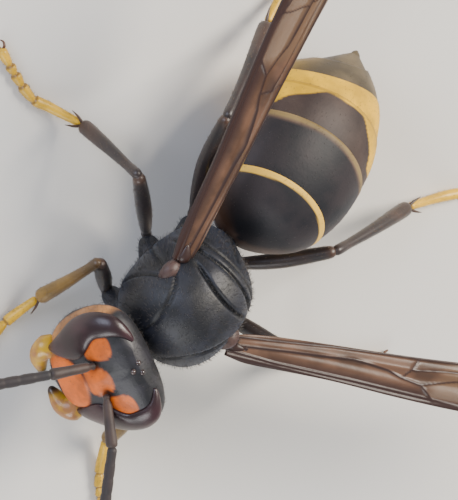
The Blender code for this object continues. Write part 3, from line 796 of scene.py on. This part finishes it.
def face_marks():
    """The head's marks, each a function of a point in the head's frame."""

    def front(p):
        return below(p.y, -0.35, 0.3)

    def orange(p):
        frons_width = 0.68 - 0.12 * soft(p.z, 0.9, 0.8)
        frons = oval(p.x, p.z, 0.06, 0.6, frons_width, 0.66, 0.14, 3.0) * front(p)
        clypeus = below(clypeus_reach(p.x, p.z), 1.0, 0.08) * front(p)
        sinus = oval(abs(p.x), p.z, 1.42, 1.06, 0.54, 0.62, 0.14, 3.0) * below(p.y, -0.1, 0.3)
        return max(frons, clypeus, sinus)

    def gena(p):
        border = along(EYE_OUTER, p.z)[0]
        band = soft(p.y, border - 0.25, 0.1) * below(p.y, border + 0.6, 0.25) * soft(abs(p.x), 1.5, 0.4)
        cheek = below(p.z, -1.25, 0.3) * soft(abs(p.x), 0.9, 0.3) * below(p.y, 0.2, 0.3)
        return max(band * below(p.z, 1.65, 0.4), cheek)

    # Painted shade in the sunk antennal sockets, and a dark line along the clypeus's suture.
    def seam(p):
        border = 0.75 * hump(clypeus_reach(p.x, p.z), 1.04, 0.04) * front(p) * soft(p.z, -0.7, 0.6)
        return max(border, socket_reach(abs(p.x), p.z, 0.05) * front(p))

    return {"orange": orange, "gena": gena, "seam": seam}


def make_head():
    """The head capsule: raised clypeus, sunk antennal sockets and full cheeks."""
    sections = 120
    low, high = HEAD_SECTIONS[0][0], HEAD_SECTIONS[-1][0]

    def place(station, angle):
        share = clamped((station - 1) / (sections - 2))
        z = high + (low - high) * (share - math.sin(share * 2 * math.pi) * 0.06)
        half, front, back = along(HEAD_SECTIONS, z)
        if station in (0, sections):
            return 0.0, (back - front) / 2, z
        c, s = squared(angle, FACE_POWER if math.sin(angle) < 0 else NAPE_POWER)
        x, y = half * c, s * (front if s < 0 else back)
        reach = clypeus_reach(x, z)
        clypeus = 0.1 * below(reach, 1.0, 0.4) - 0.03 * hump(reach, 1.05, 0.06)
        ridge = 0.1 * hump(x, 0.0, 0.32) * hump(z, 0.6, 0.6)
        furrow = 0.03 * hump(x, 0.0, 0.05) * soft(z, 1.1, 0.4)
        socket = sum(socket_reach(x * side, z, 0.07) for side in (-1, 1))
        lift = clypeus - 0.18 * socket + ridge - furrow
        return x, y - lift * soft(-y, 0.3, 0.5), z

    bm = round_body(SKIN_SIDES, sections, place)
    paint(bm, face_marks())
    return bm


def make_eye(side):
    """A kidney-shaped compound eye, notched on the side of the antenna and bulging from the head."""
    stations = 64

    def place(station, angle):
        turn = math.pi * station / stations
        border = along(EYE_BORDERS, (1.0 + math.cos(turn)) / 2)
        inner, outer = Vector(border[:3]), Vector(border[3:])
        fade = math.sin(turn) ** 0.6
        c, s = math.cos(angle), math.sin(angle)
        spot, normal = on_head(inner.lerp(outer, (1.0 + s * fade) / 2))
        spot += normal * (0.03 + c * (EYE_BULGE if c > 0 else EYE_DEPTH) * fade)
        return side * spot.x, spot.y, spot.z

    return round_body(64, stations, place)


def make_jaw(side):
    """One jaw, broad at the cheek and narrowing to its tip where it closes under the mouth."""
    path = ((1.4, -0.55, -1.5), (1.5, -0.85, -1.95), (1.2, -1.0, -2.4), (0.35, -1.05, -2.65))
    profile = ((0.0, 0.52), (0.3, 0.6), (0.6, 0.48), (0.85, 0.28), (1.0, 0.14))
    spots = [(side * x, y, z) for x, y, z in path]
    return limb_body(spots, profile, 28, 30, 0.8, seam=lambda s: soft(s, 0.85, 0.2))


def make_ocellus(spot):
    """One of the simple eyes on the crown, a little flattened."""
    stations = 14

    def place(station, angle):
        slope = math.pi * station / stations
        x, y = math.cos(angle) * math.sin(slope), math.sin(angle) * math.sin(slope)
        return Vector(spot) + Vector((x, y, 0.8 * math.cos(slope))) * OCELLUS_RADIUS

    return round_body(20, stations, place)


def make_feeler(word):
    """One antenna: scape, pedicel and a ringed flagellum that droops to its tip."""
    socket, first, second = (Vector(row) for row in FEELERS[word])
    start = HEAD_PLACE @ socket
    first, second = first.normalized(), second.normalized()
    elbow = start + first * SCAPE_LENGTH
    bodies = [limb_body([start, elbow], SCAPE_PROFILE, 20, 30, brown=0.35)]
    half = elbow + second * FLAGELLUM_LENGTH / 2
    tip = half + (second - UP * FLAGELLUM_DROOP).normalized() * FLAGELLUM_LENGTH / 2
    profile = [(0.0, 0.13)]
    for k in range(FLAGELLOMERES):
        near, far = k / FLAGELLOMERES, (k + 1) / FLAGELLOMERES
        wide = along(FLAGELLUM_PROFILE, (near + far) / 2)[0]
        profile += [(near + 0.004, wide - 0.018)] if k else []
        profile += [(near + 0.02, wide), (far - 0.02, wide + 0.003)]
    route = [elbow - second * 0.12, half, tip]
    bodies.append(limb_body(route, profile + [(1.0, 0.12)], 20, 130, brown=0.1))
    return merged(bodies)


def gaster_size(s):
    """Half width of the gaster at a distance behind the waist, as a share of its greatest."""
    if s < GASTER_WIDEST:
        return max(1.0 - ((GASTER_WIDEST - s) / GASTER_WIDEST) ** 2.4, 0.0) ** 0.5
    tip = 0.085 * max(1.0 - ((s - 9.9) / 0.3) ** 2, 0.0) ** 0.5 if s > 9.9 else 0.0
    return max(max(1.0 - ((s - GASTER_WIDEST) / (GASTER_LENGTH - GASTER_WIDEST)) ** 2.4, 0.0) ** 1.05, tip)


def ripple(angle):
    """A small wavering number that runs round a ring, for the edge of a band."""
    waves = ((3, 0.4), (7, 0.28), (13, 0.2), (23, 0.12))
    return sum(a * math.sin(n * angle + 3.4 * n) for n, a in waves)


def ring_slant(number, angle):
    """How far a ring's rear edge reaches behind its middle: most on the back, least at the sides."""
    reach, lean, shift = RING_SLANTS[number]
    return reach * (max(math.sin(angle), 0.0) ** 1.5 - 0.66) + lean * math.cos(angle) - shift


def band_marks(number, end):
    """The marks of one ring of the gaster, each a function of a point in the gaster's frame."""

    def side(p):
        return math.degrees(math.atan2(p.z + 0.3, abs(p.x)))

    def flank(p):
        return below(side(p), 22.0, 40.0)

    def rear(p, edge, width):
        return below(end + ring_slant(number, math.atan2(p.z, p.x)) - p.y, edge, width)

    def rim(p, edge, width):
        return rear(p, edge, width) * soft(side(p), -30.0, 20.0)

    def yellow_front(p):
        angle = math.atan2(p.z, p.x)
        off = abs(math.degrees(angle) - 98.0)
        front = along(YELLOW_FRONT, min(off, 360.0 - off))[0]
        return front + 0.25 * math.cos(angle) + 0.04 * ripple(angle)

    whole = {"olive": lambda p: 1.0}
    changes = {
        1: {"pale": lambda p: rim(p, 0.18, 0.06)},
        2: {
            "pale": lambda p: 0.14 * rim(p, 0.13, 0.1),
            "olive": lambda p: 0.9 * rim(p, 0.15, 0.1),
            "brown": lambda p: max(flank(p), 0.9 * rear(p, 0.24, 0.16)),
        },
        3: {
            "yellow": lambda p: soft(p.y - yellow_front(p), 0.0, 0.1),
            "seam": lambda p: 0.3 * rear(p, 0.05, 0.04),
            "brown": lambda p: 0.3 + 0.6 * flank(p),
        },
        4: {"yellow": lambda p: 1.0, **whole},
        5: {"yellow": lambda p: 0.35 * flank(p), **whole},
        6: {"brown": lambda p: 0.3, **whole},
    }
    return {"brown": flank, **changes[number]}


def tail_bend(s):
    """How far the last rings of the gaster swell to the hornet's left."""
    return 0.36 * hump(s, 8.9, 1.2)


def make_ring(number):
    """One ring of the gaster, tucked under the ring before it and lipped over the next."""
    first, end = (0.0, *TERGITE_ENDS)[number - 1 : number + 1]
    is_last = number == len(TERGITE_ENDS)
    lip = 0.0 if is_last else sizes().tergite_lip / MM
    least = 0.42 if number == 1 else 0.09
    front = first - (RING_TUCK if number > 1 else 0.0)
    rear = end if is_last else end + 0.04
    stations = 40

    def place(station, angle):
        share = clamped((station - 2) / (stations - 5))
        s = front + ring_slant(number - 1, angle) * (1.0 - share) + ring_slant(number, angle) * share
        s = max(s + (rear - front) * share, 0.0)
        sink = GASTER_RISE * max(1.0 - s / 1.3, 0.0) ** 2
        if station == 0:
            return 0.0, front + 0.1, -sink
        if station == stations:
            return 0.0, rear - (0.0 if is_last else 0.3), -sink
        size = gaster_size(s)
        stand = lip * soft(share, 0.4, 0.8)
        half, tall = (max(most * size + stand, least) for most in (GASTER_HALF_WIDTH, GASTER_HALF_HEIGHT))
        rise = math.degrees(math.asin(math.sin(angle)))
        plate = 0.0 if is_last else PLATE_STEP * soft(rise, -24.0, 3.0)
        half, tall = half + plate - 0.04, tall + plate - 0.04
        if station == 1:
            half, tall = max(half - 0.25, 0.05), max(tall - 0.25, 0.05)
        if not is_last and station >= stations - 2:
            curl, back = (0.05, 0.0) if station == stations - 2 else (0.2, 0.12)
            half, tall, s = half - curl, tall - curl, s - back
        return half * math.cos(angle), s, tall * math.sin(angle) - sink

    bm = round_body(140, stations, place)
    paint(bm, band_marks(number, end))
    for vert in bm.verts:
        vert.co.x += tail_bend(vert.co.y)
    return bm


def foot_profile():
    """Half thickness along a foot of five joints, each wider at its far end."""
    rows = []
    for start, end in zip(TARSOMERE_ENDS, TARSOMERE_ENDS[1:]):
        rows.append((start + 0.008, 0.14) if start else (0.0, 0.2))
        rows += [(start + 0.03, 0.185), (end - 0.02, 0.24)]
        rows.append((end - 0.004, 0.21) if end < 1.0 else (1.0, 0.15))
    return rows


def on_floor(bm):
    """Lifts what would pass through the floor on to it."""
    for vert in bm.verts:
        vert.co.z = max(vert.co.z, 0.0)
    return bm


def make_leg(name):
    """Thigh, shin and foot of one leg, with the spurs at the end of the shin."""
    hip, knee, ankle = (Vector(joint) for joint in LEGS[name][:3])
    bend, end = (Vector((*spot, FOOT_HEIGHT)) for spot in LEGS[name][3:])
    is_front = name.startswith("front")
    thigh, shin = (knee - hip).normalized(), (ankle - knee).normalized()
    start = hip - thigh * 0.1
    middle = start.lerp(knee, 0.5) + THIGH_BOWS.get(name, LEG_BOW)
    femur = [start, middle, knee + thigh * 0.05]
    bodies = [limb_body(femur, FEMUR_PROFILE, 24, 40, brown=lambda s: 0.15 + 0.6 * soft(s, 0.93, 0.08))]
    tibia = [knee - shin * 0.1, knee.lerp(ankle, 0.5) + LEG_BOW, ankle]
    if is_front:
        shades = {"brown": 0.9, "yellow": lambda s: 0.05 + 0.2 * soft(s, 0.3, 0.6)}
    else:
        shades = {"brown": lambda s: 0.2 + 0.45 * soft(s, 0.75, 0.4)}
    bodies.append(limb_body(tibia, TIBIA_PROFILE, 24, 40, **shades))
    touch = ankle.lerp(bend, 0.6)
    touch.z = FOOT_HEIGHT + 0.1
    rings = {"seam": lambda s: max(hump(s, joint, 0.012) for joint in TARSOMERE_ENDS[:-1]) * 0.8}
    foot = limb_body([ankle, touch, bend, end], foot_profile(), 20, 120, yellow=1.0, **rings)
    bodies.append(on_floor(foot))
    ahead = (touch - ankle).normalized()
    side = ahead.cross(UP).normalized()
    for lean in (-0.55,) if is_front else (-0.55, 0.55):
        way = (ahead + (side * lean + UP * 0.25)).normalized()
        base = ankle - shin * 0.12 + way * 0.1
        spur = [base, base + way * 0.35, base + (way + ahead * 0.3).normalized() * 0.75]
        bodies.append(limb_body(spur, ((0.0, 0.08), (0.5, 0.055), (1.0, 0.012)), 10, 8, brown=0.7))
    return merged(bodies)


def make_claws(name):
    """The two hooked claws and the pad between them at the end of one foot."""
    bend, end = (Vector((*p, FOOT_HEIGHT)) for p in LEGS[name][3:])
    way = (end - bend).normalized()
    side = way.cross(UP)
    bodies = []
    for sign in (-1, 1):
        base = end - way * 0.1 + side * sign * 0.06
        out = (way * 0.5 + side * sign * 0.75).normalized()
        spots = [
            base,
            base + out * CLAW_LENGTH * 0.45 + UP * 0.05,
            base + (out + way * 0.4).normalized() * CLAW_LENGTH * 0.85 - UP * 0.02,
            base + (out * 0.8 + way).normalized() * CLAW_LENGTH - UP * 0.17,
        ]
        profile = ((0.0, 0.06), (0.4, 0.06), (0.8, 0.035), (1.0, 0.01))
        bodies.append(limb_body(spots, profile, 12, 12, seam=1.0, brown=1.0))
    pad = [end - way * 0.1 - UP * 0.04, end + way * 0.12 - UP * 0.1]
    bodies.append(limb_body(pad, ((0.0, 0.09), (1.0, 0.08)), 12, 4, 0.8, seam=0.3, brown=0.6, yellow=0.3))
    return on_floor(merged(bodies))


def wing_frame(heading, roll):
    """A wing's way out, its way to the leading edge and its way up."""
    forward = Vector(heading).normalized()
    sign = 1 if heading[0] > 0 else -1
    chord = forward.cross(UP).normalized() * sign
    chord = Matrix.Rotation(math.radians(roll), 3, forward) @ chord
    return forward, chord, chord.cross(forward) * sign


def vein_lines(edges, veins):
    """Each straight stretch of a wing's veins: its half width and its two ends in the wing's plane."""

    def spot(u, share):
        lead, trail = along(edges, u)
        return Vector((u, lead + (trail - lead) * share))

    lines = []
    for half, points in veins:
        ends = [spot(*point) for point in points]
        lines += [(half, a, b) for a, b in zip(ends, ends[1:])]
    return lines


def vein_strength(p, lines):
    """How much a point of a wing lies on a vein: 1 on its middle line, 0 beside it."""
    best = 0.0
    for half, a, b in lines:
        if a.x - VEIN_MARGIN <= p.x <= b.x + VEIN_MARGIN:
            way = b - a
            distance = (p - a.lerp(b, clamped((p - a).dot(way) / way.length_squared))).length
            best = max(best, below(distance, half, half * 1.2))
    return best


def make_wing(root, axes, edges, veins, columns, rows, fold):
    """One folded wing: a thin membrane with its veins raised on both faces."""
    start, length = edges[0][0], edges[-1][0]
    forward, chord, normal = axes
    membrane, vein_height = sizes().membrane / MM, sizes().vein_height / MM
    lines = vein_lines(edges, veins)
    bm = bmesh.new()
    vein, smoky, clear, clarity = (
        bm.verts.layers.float.new(name) for name in ("vein", "smoky", "clear", "clarity")
    )
    bmesh.ops.create_grid(bm, x_segments=columns, y_segments=rows, size=1.0)
    for vert in bm.verts:
        u = start + (length - start) * ((vert.co.x + 1.0) / 2) ** 0.97
        share = (1.0 - vert.co.y) / 2
        lead, trail = along(edges, u)
        across = lead + (trail - lead) * share
        strength = vein_strength(Vector((u, across)), lines)
        pleat = fold * hump(share, 0.72, 0.1) - 0.1 * (2 * share - 0.9) ** 2
        pleat += 0.03 * math.sin(share * 16.0 + u * 0.3) * clamped(u / 3.0)
        height = pleat * min(max(u, 0.0) / 1.5 + 0.2, 1.0) - WING_SAG * u * u
        beyond = soft(u, 8.3 + 1.2 * share, 0.8) * soft(share, 0.16, 0.1)
        vert[vein], vert[clear] = strength, beyond
        vert[smoky] = max(below(share, 0.3, 0.3) * (1.0 - 0.7 * beyond), 0.0)
        vert[clarity] = (0.25 + 0.75 * vert[clear]) * (1.0 - strength) * (1.0 - 0.7 * vert[smoky])
        vert.co = root + forward * u + chord * across + normal * (height + strength * vein_height)
    geometry = bm.faces[:] + bm.edges[:] + bm.verts[:]
    for item in bmesh.ops.extrude_face_region(bm, geom=geometry)["geom"]:
        if isinstance(item, bmesh.types.BMVert):
            item.co -= normal * (membrane + 2 * vein_height * item[vein])
    return bm


def hair_stem(root, normal, lie, reach, width, stand):
    """The seven points of one hair, three by its root, three by its middle and its tip."""
    first = (normal * stand + lie * (1.0 - stand)).normalized()
    second = (first + lie * 0.5).normalized()
    side = first.cross(lie if abs(first.dot(lie)) < 0.98 else Vector((1.0, 0.0, 0.0))).normalized()
    across = side.cross(first)
    base = root - normal * width * 2
    middle = base + first * reach * 0.55
    tip = middle + second * reach * 0.45
    if min(base.z, middle.z, tip.z) < width:
        return []
    turns = [2 * math.pi * k / 3 for k in range(3)]
    return [
        centre + (side * math.cos(turn) + across * math.sin(turn)) * radius
        for centre, radius in ((base, width), (middle, width * 0.7))
        for turn in turns
    ] + [tip]


def grow(name, skins, material, way, seed, count, length, width, stand, keep=None):
    """Short hairs rooted on skins that are already in place, in one joined mesh.

    Its UV map holds each hair's place on its skin.
    """
    draw = random.Random(seed)
    faces = []
    for skin in skins:
        mesh = bpy.data.objects[skin].data
        around, down_by = mesh.attributes["around"].data, mesh.attributes["down"].data
        faces += [(mesh, polygon, around, down_by) for polygon in mesh.polygons]
    weights = [face[1].area for face in faces]
    points, shapes, patches = [], [], []
    for mesh, polygon, around, down_by in draw.choices(faces, weights, k=count):
        corners = [mesh.vertices[i].co for i in polygon.vertices]
        pick = draw.randrange(len(corners))
        a, b = draw.random(), draw.random()
        if a + b > 1.0:
            a, b = 1.0 - a, 1.0 - b
        centre, normal = polygon.center, polygon.normal
        root = centre + (corners[pick] - centre) * a + (corners[pick - 1] - centre) * b
        spread = Vector([draw.uniform(-1, 1) for _ in range(3)])
        chance = keep(root / MM - FIGURE_SHIFT) if keep else 1.0
        if draw.random() > chance:
            continue
        lie = (way - normal * way.dot(normal) + spread * 0.25).normalized()
        stem = hair_stem(root, normal, lie, length * draw.uniform(0.6, 1.25), width, stand)
        if not stem:
            continue
        start = len(points)
        points += stem
        shapes.append((start, start + 1, start + 2))
        for k in range(3):
            n = (k + 1) % 3
            shapes.append((start + n, start + k, start + 3 + k, start + 3 + n))
            shapes.append((start + 3 + n, start + 3 + k, start + 6))
        here = polygon.vertices[0]
        patches.append((around[here].value, down_by[here].value))
    mesh = bpy.data.meshes.new(name)
    mesh.from_pydata(points, [], shapes)
    layer = mesh.uv_layers.new(name="OFBake")
    for loop in mesh.loops:
        hair, corner = divmod(loop.vertex_index, 7)
        u, v = patches[hair]
        layer.uv[loop.index].vector = (u + 0.0015 * (corner % 3), v + 0.003 * (corner // 3) / 2)
    seat(name, mesh, material)


class HORNET_OT_thorax(bpy.types.Operator):
    """Builds the thorax, its collar, scutellum, wing scales and coxae"""

    bl_idname = "hornet.thorax"
    bl_label = "Thorax"

    def execute(self, context):
        finish_piece("thorax_skin", make_thorax(), thorax_cuticle(), ("thorax",), THORAX_PLACE)
        return {"FINISHED"}


class HORNET_OT_head(bpy.types.Operator):
    """Builds the head capsule with its eyes, ocelli and jaws"""

    bl_idname = "hornet.head"
    bl_label = "Head"

    def execute(self, context):
        finish_piece("head_capsule", make_head(), head_cuticle(), ("head",), HEAD_PLACE)
        eye, jaw = eye_lens(), jaw_chitin()
        for side, word in ((-1, "right"), (1, "left")):
            finish_piece("compound_eye_" + word, make_eye(side), eye, ("eye_" + word,), HEAD_PLACE)
            nodes = ("mandible_" + word,)
            finish_piece("jaw_" + word, make_jaw(side), jaw, nodes, HEAD_PLACE)
        ocelli = merged([make_ocellus(spot) for spot in OCELLI])
        finish_piece("ocelli", ocelli, ocellus_lens(), (), HEAD_PLACE)
        return {"FINISHED"}


class HORNET_OT_feelers(bpy.types.Operator):
    """Builds the two antennae"""

    bl_idname = "hornet.feelers"
    bl_label = "Feelers"

    def execute(self, context):
        material = limb_cuticle("downy_feeler_chitin", 0.62, 0.0)
        for word in FEELERS:
            nodes = ("scape_" + word, "flagellum_" + word)
            finish_piece("antenna_" + word, make_feeler(word), material, nodes)
        return {"FINISHED"}


class HORNET_OT_gaster(bpy.types.Operator):
    """Builds the six rings of the gaster"""

    bl_idname = "hornet.gaster"
    bl_label = "Gaster"

    def execute(self, context):
        material = gaster_cuticle()
        for number in range(1, len(TERGITE_ENDS) + 1):
            nodes = ("gaster_%d" % number,)
            finish_piece("tergite_%d" % number, make_ring(number), material, nodes, gaster_place())
        return {"FINISHED"}


class HORNET_OT_legs(bpy.types.Operator):
    """Builds the six legs with their spurs and claws"""

    bl_idname = "hornet.legs"
    bl_label = "Legs"

    def execute(self, context):
        material = limb_cuticle("leg_chitin", 0.42, 0.1)
        for name in LEGS:
            nodes = ("femur_" + name, "tibia_" + name, "tarsus_" + name)
            finish_piece("leg_" + name, make_leg(name), material, nodes)
            finish_piece("claws_" + name, make_claws(name), material)
        return {"FINISHED"}


class HORNET_OT_wings(bpy.types.Operator):
    """Builds the folded forewings, each with its hindwing below"""

    bl_idname = "hornet.wings"
    bl_label = "Wings"

    def execute(self, context):
        material = wing_membrane()
        for word, (root, heading, roll) in WINGS.items():
            root = Vector(root)
            axes = forward, chord, normal = wing_frame(heading, roll)
            start = THORAX_PLACE @ Vector(WING_HINGES[word])
            hinge = [start, root.lerp(start, 0.5) - forward * 0.3, root - forward * 0.5, root + chord * 0.1]
            below_root = root + forward * HINDWING_BACK - normal * HINDWING_DROP
            below_root += chord * HINDWING_SHIFT[word]
            tie = [root, root.lerp(below_root, 0.5), below_root + forward * 0.8]
            fore = make_wing(root, axes, FOREWING_EDGES, FOREWING_VEINS, 260, 40, 0.08)
            hind = make_wing(below_root, axes, HINDWING_EDGES, HINDWING_VEINS, 180, 26, 0.05)
            for pair, wing, stem in (
                ("forewing", fore, limb_body(hinge, HINGE_PROFILE, 16, 16, 0.7, **WING_HORN)),
                ("hindwing", hind, limb_body(tie, TIE_PROFILE, 12, 10, 0.7, **WING_HORN)),
            ):
                name, nodes = "%s_skin_%s" % (pair, word), ("%s_%s" % (pair, word),)
                finish_piece(name, merged([wing, stem]), material, nodes, closed=False)
        return {"FINISHED"}


class HORNET_OT_pile(bpy.types.Operator):
    """Grows the short hair on thorax, head, gaster and legs"""

    bl_idname = "hornet.pile"
    bl_label = "Pile"

    def execute(self, context):
        dark = down("dark_pile", linear("#17130F"), linear("#3A2C22"))
        golden = down("golden_pile", scaled(colours().brown, 1.4), linear("#7A5E3A"))
        back = Vector((0.0, 0.8, -0.6))
        from_head = HEAD_PLACE.inverted()

        def bare_face(spot):
            return 0.15 + 0.85 * soft((from_head @ spot).y, -0.8, 0.8)

        grow(
            "pile_thorax", ["thorax_skin"], dark, back, seed=11,
            count=sizes().pile_count, length=sizes().pile_length, width=0.007 * MM, stand=0.6,
        )
        grow(
            "pile_head", ["head_capsule"], dark, back, seed=12,
            count=2200, length=0.15 * MM, width=0.006 * MM, stand=0.6, keep=bare_face,
        )
        rings = ["tergite_%d" % number for number in range(1, len(TERGITE_ENDS) + 1)]
        grow(
            "pile_gaster", rings, dark, Vector((-0.1, 1.0, -0.1)), seed=13,
            count=6000, length=0.13 * MM, width=0.006 * MM, stand=0.25,
        )
        for name, (hip, knee, ankle, *foot) in LEGS.items():
            way = (Vector(ankle) - Vector(hip)).normalized()
            grow(
                "bristles_" + name, ["leg_" + name], golden, way, seed=14,
                count=700, length=0.13 * MM, width=0.007 * MM, stand=0.4,
            )
        return {"FINISHED"}


class HORNET_OT_stage(bpy.types.Operator):
    """Lays the pale floor and sets the soft lights and the camera"""

    bl_idname = "hornet.stage"
    bl_label = "Stage"

    def execute(self, context):
        scene = context.scene

        def placed_object(name, data):
            made = bpy.data.objects.new(name, data)
            scene.collection.objects.link(made)
            return made

        bm = bmesh.new()
        bmesh.ops.create_grid(bm, x_segments=1, y_segments=1, size=FLOOR_HALF)
        mesh = bpy.data.meshes.new("floor")
        bm.to_mesh(mesh)
        bm.free()
        # Matt paper, with no gloss of its own.
        gloss = {"Roughness": 0.9, "Base Color": (*colours().floor, 1.0)}
        mesh.materials.append(new_material("matt_paper", gloss)[0])
        floor = placed_object("floor", mesh)

        for name, spot, size, power, code in LIGHTS:
            data = bpy.data.lights.new(name, "AREA")
            data.shape, data.size, data.energy, data.color = "DISK", size, power, linear(code)
            lamp = placed_object(name, data)
            lamp.location = spot
            way = Vector(LIGHTS_AIM) - lamp.location
            lamp.rotation_euler = way.to_track_quat("-Z", "Y").to_euler()

        world = bpy.data.worlds.new("studio")
        scene.world = world
        world.use_nodes = True
        sky = world.node_tree.nodes["Background"]
        sky.inputs["Color"].default_value = (*linear("#E6ECF5"), 1.0)
        sky.inputs["Strength"].default_value = SKY_STRENGTH

        towards = VIEW_RIGHT.cross(VIEW_UP).normalized()
        right = VIEW_UP.cross(towards).normalized()
        data = bpy.data.cameras.new("camera")
        data.sensor_width = SENSOR
        data.lens = SENSOR * VIEW_DISTANCE / VIEW_HEIGHT
        data.clip_start, data.clip_end = 0.05, 5.0
        camera = placed_object("camera", data)
        axes = Matrix((right, towards.cross(right), towards)).transposed().to_4x4()
        spot = (VIEW_CENTRE + FIGURE_SHIFT + towards * VIEW_DISTANCE) * MM
        camera.matrix_world = Matrix.Translation(spot) @ axes
        scene.camera = camera
        return {"FINISHED"}


STEPS = (
    HORNET_OT_thorax,
    HORNET_OT_head,
    HORNET_OT_feelers,
    HORNET_OT_gaster,
    HORNET_OT_legs,
    HORNET_OT_wings,
    HORNET_OT_pile,
    HORNET_OT_stage,
)


class HORNET_PT_panel(bpy.types.Panel):
    """Lists the hornet's steps, sizes and colours"""

    bl_label = "Asian hornet"
    bl_idname = "HORNET_PT_panel"
    bl_space_type = "VIEW_3D"
    bl_region_type = "UI"
    bl_category = "Hornet"

    def draw(self, context):
        for step in STEPS:
            self.layout.operator(step.bl_idname)
        for group in (context.scene.hornet_sizes, context.scene.hornet_colours):
            for name in group.__annotations__:
                self.layout.prop(group, name)


CLASSES = (HornetSizes, HornetColours, *STEPS, HORNET_PT_panel)


def register():
    """Adds the classes and the hornet's sizes and colours."""
    for item in CLASSES:
        bpy.utils.register_class(item)
    bpy.types.Scene.hornet_sizes = PointerProperty(type=HornetSizes)
    bpy.types.Scene.hornet_colours = PointerProperty(type=HornetColours)


def unregister():
    """Removes what register added."""
    del bpy.types.Scene.hornet_colours
    del bpy.types.Scene.hornet_sizes
    for item in reversed(CLASSES):
        bpy.utils.unregister_class(item)


def main():
    """Builds the whole hornet and its stage."""
    register()
    bpy.ops.hornet.thorax()
    bpy.ops.hornet.head()
    bpy.ops.hornet.feelers()
    bpy.ops.hornet.gaster()
    bpy.ops.hornet.legs()
    bpy.ops.hornet.wings()
    bpy.ops.hornet.pile()
    bpy.ops.hornet.stage()
    bpy.context.view_layer.update()


if __name__ == "__main__":
    main()
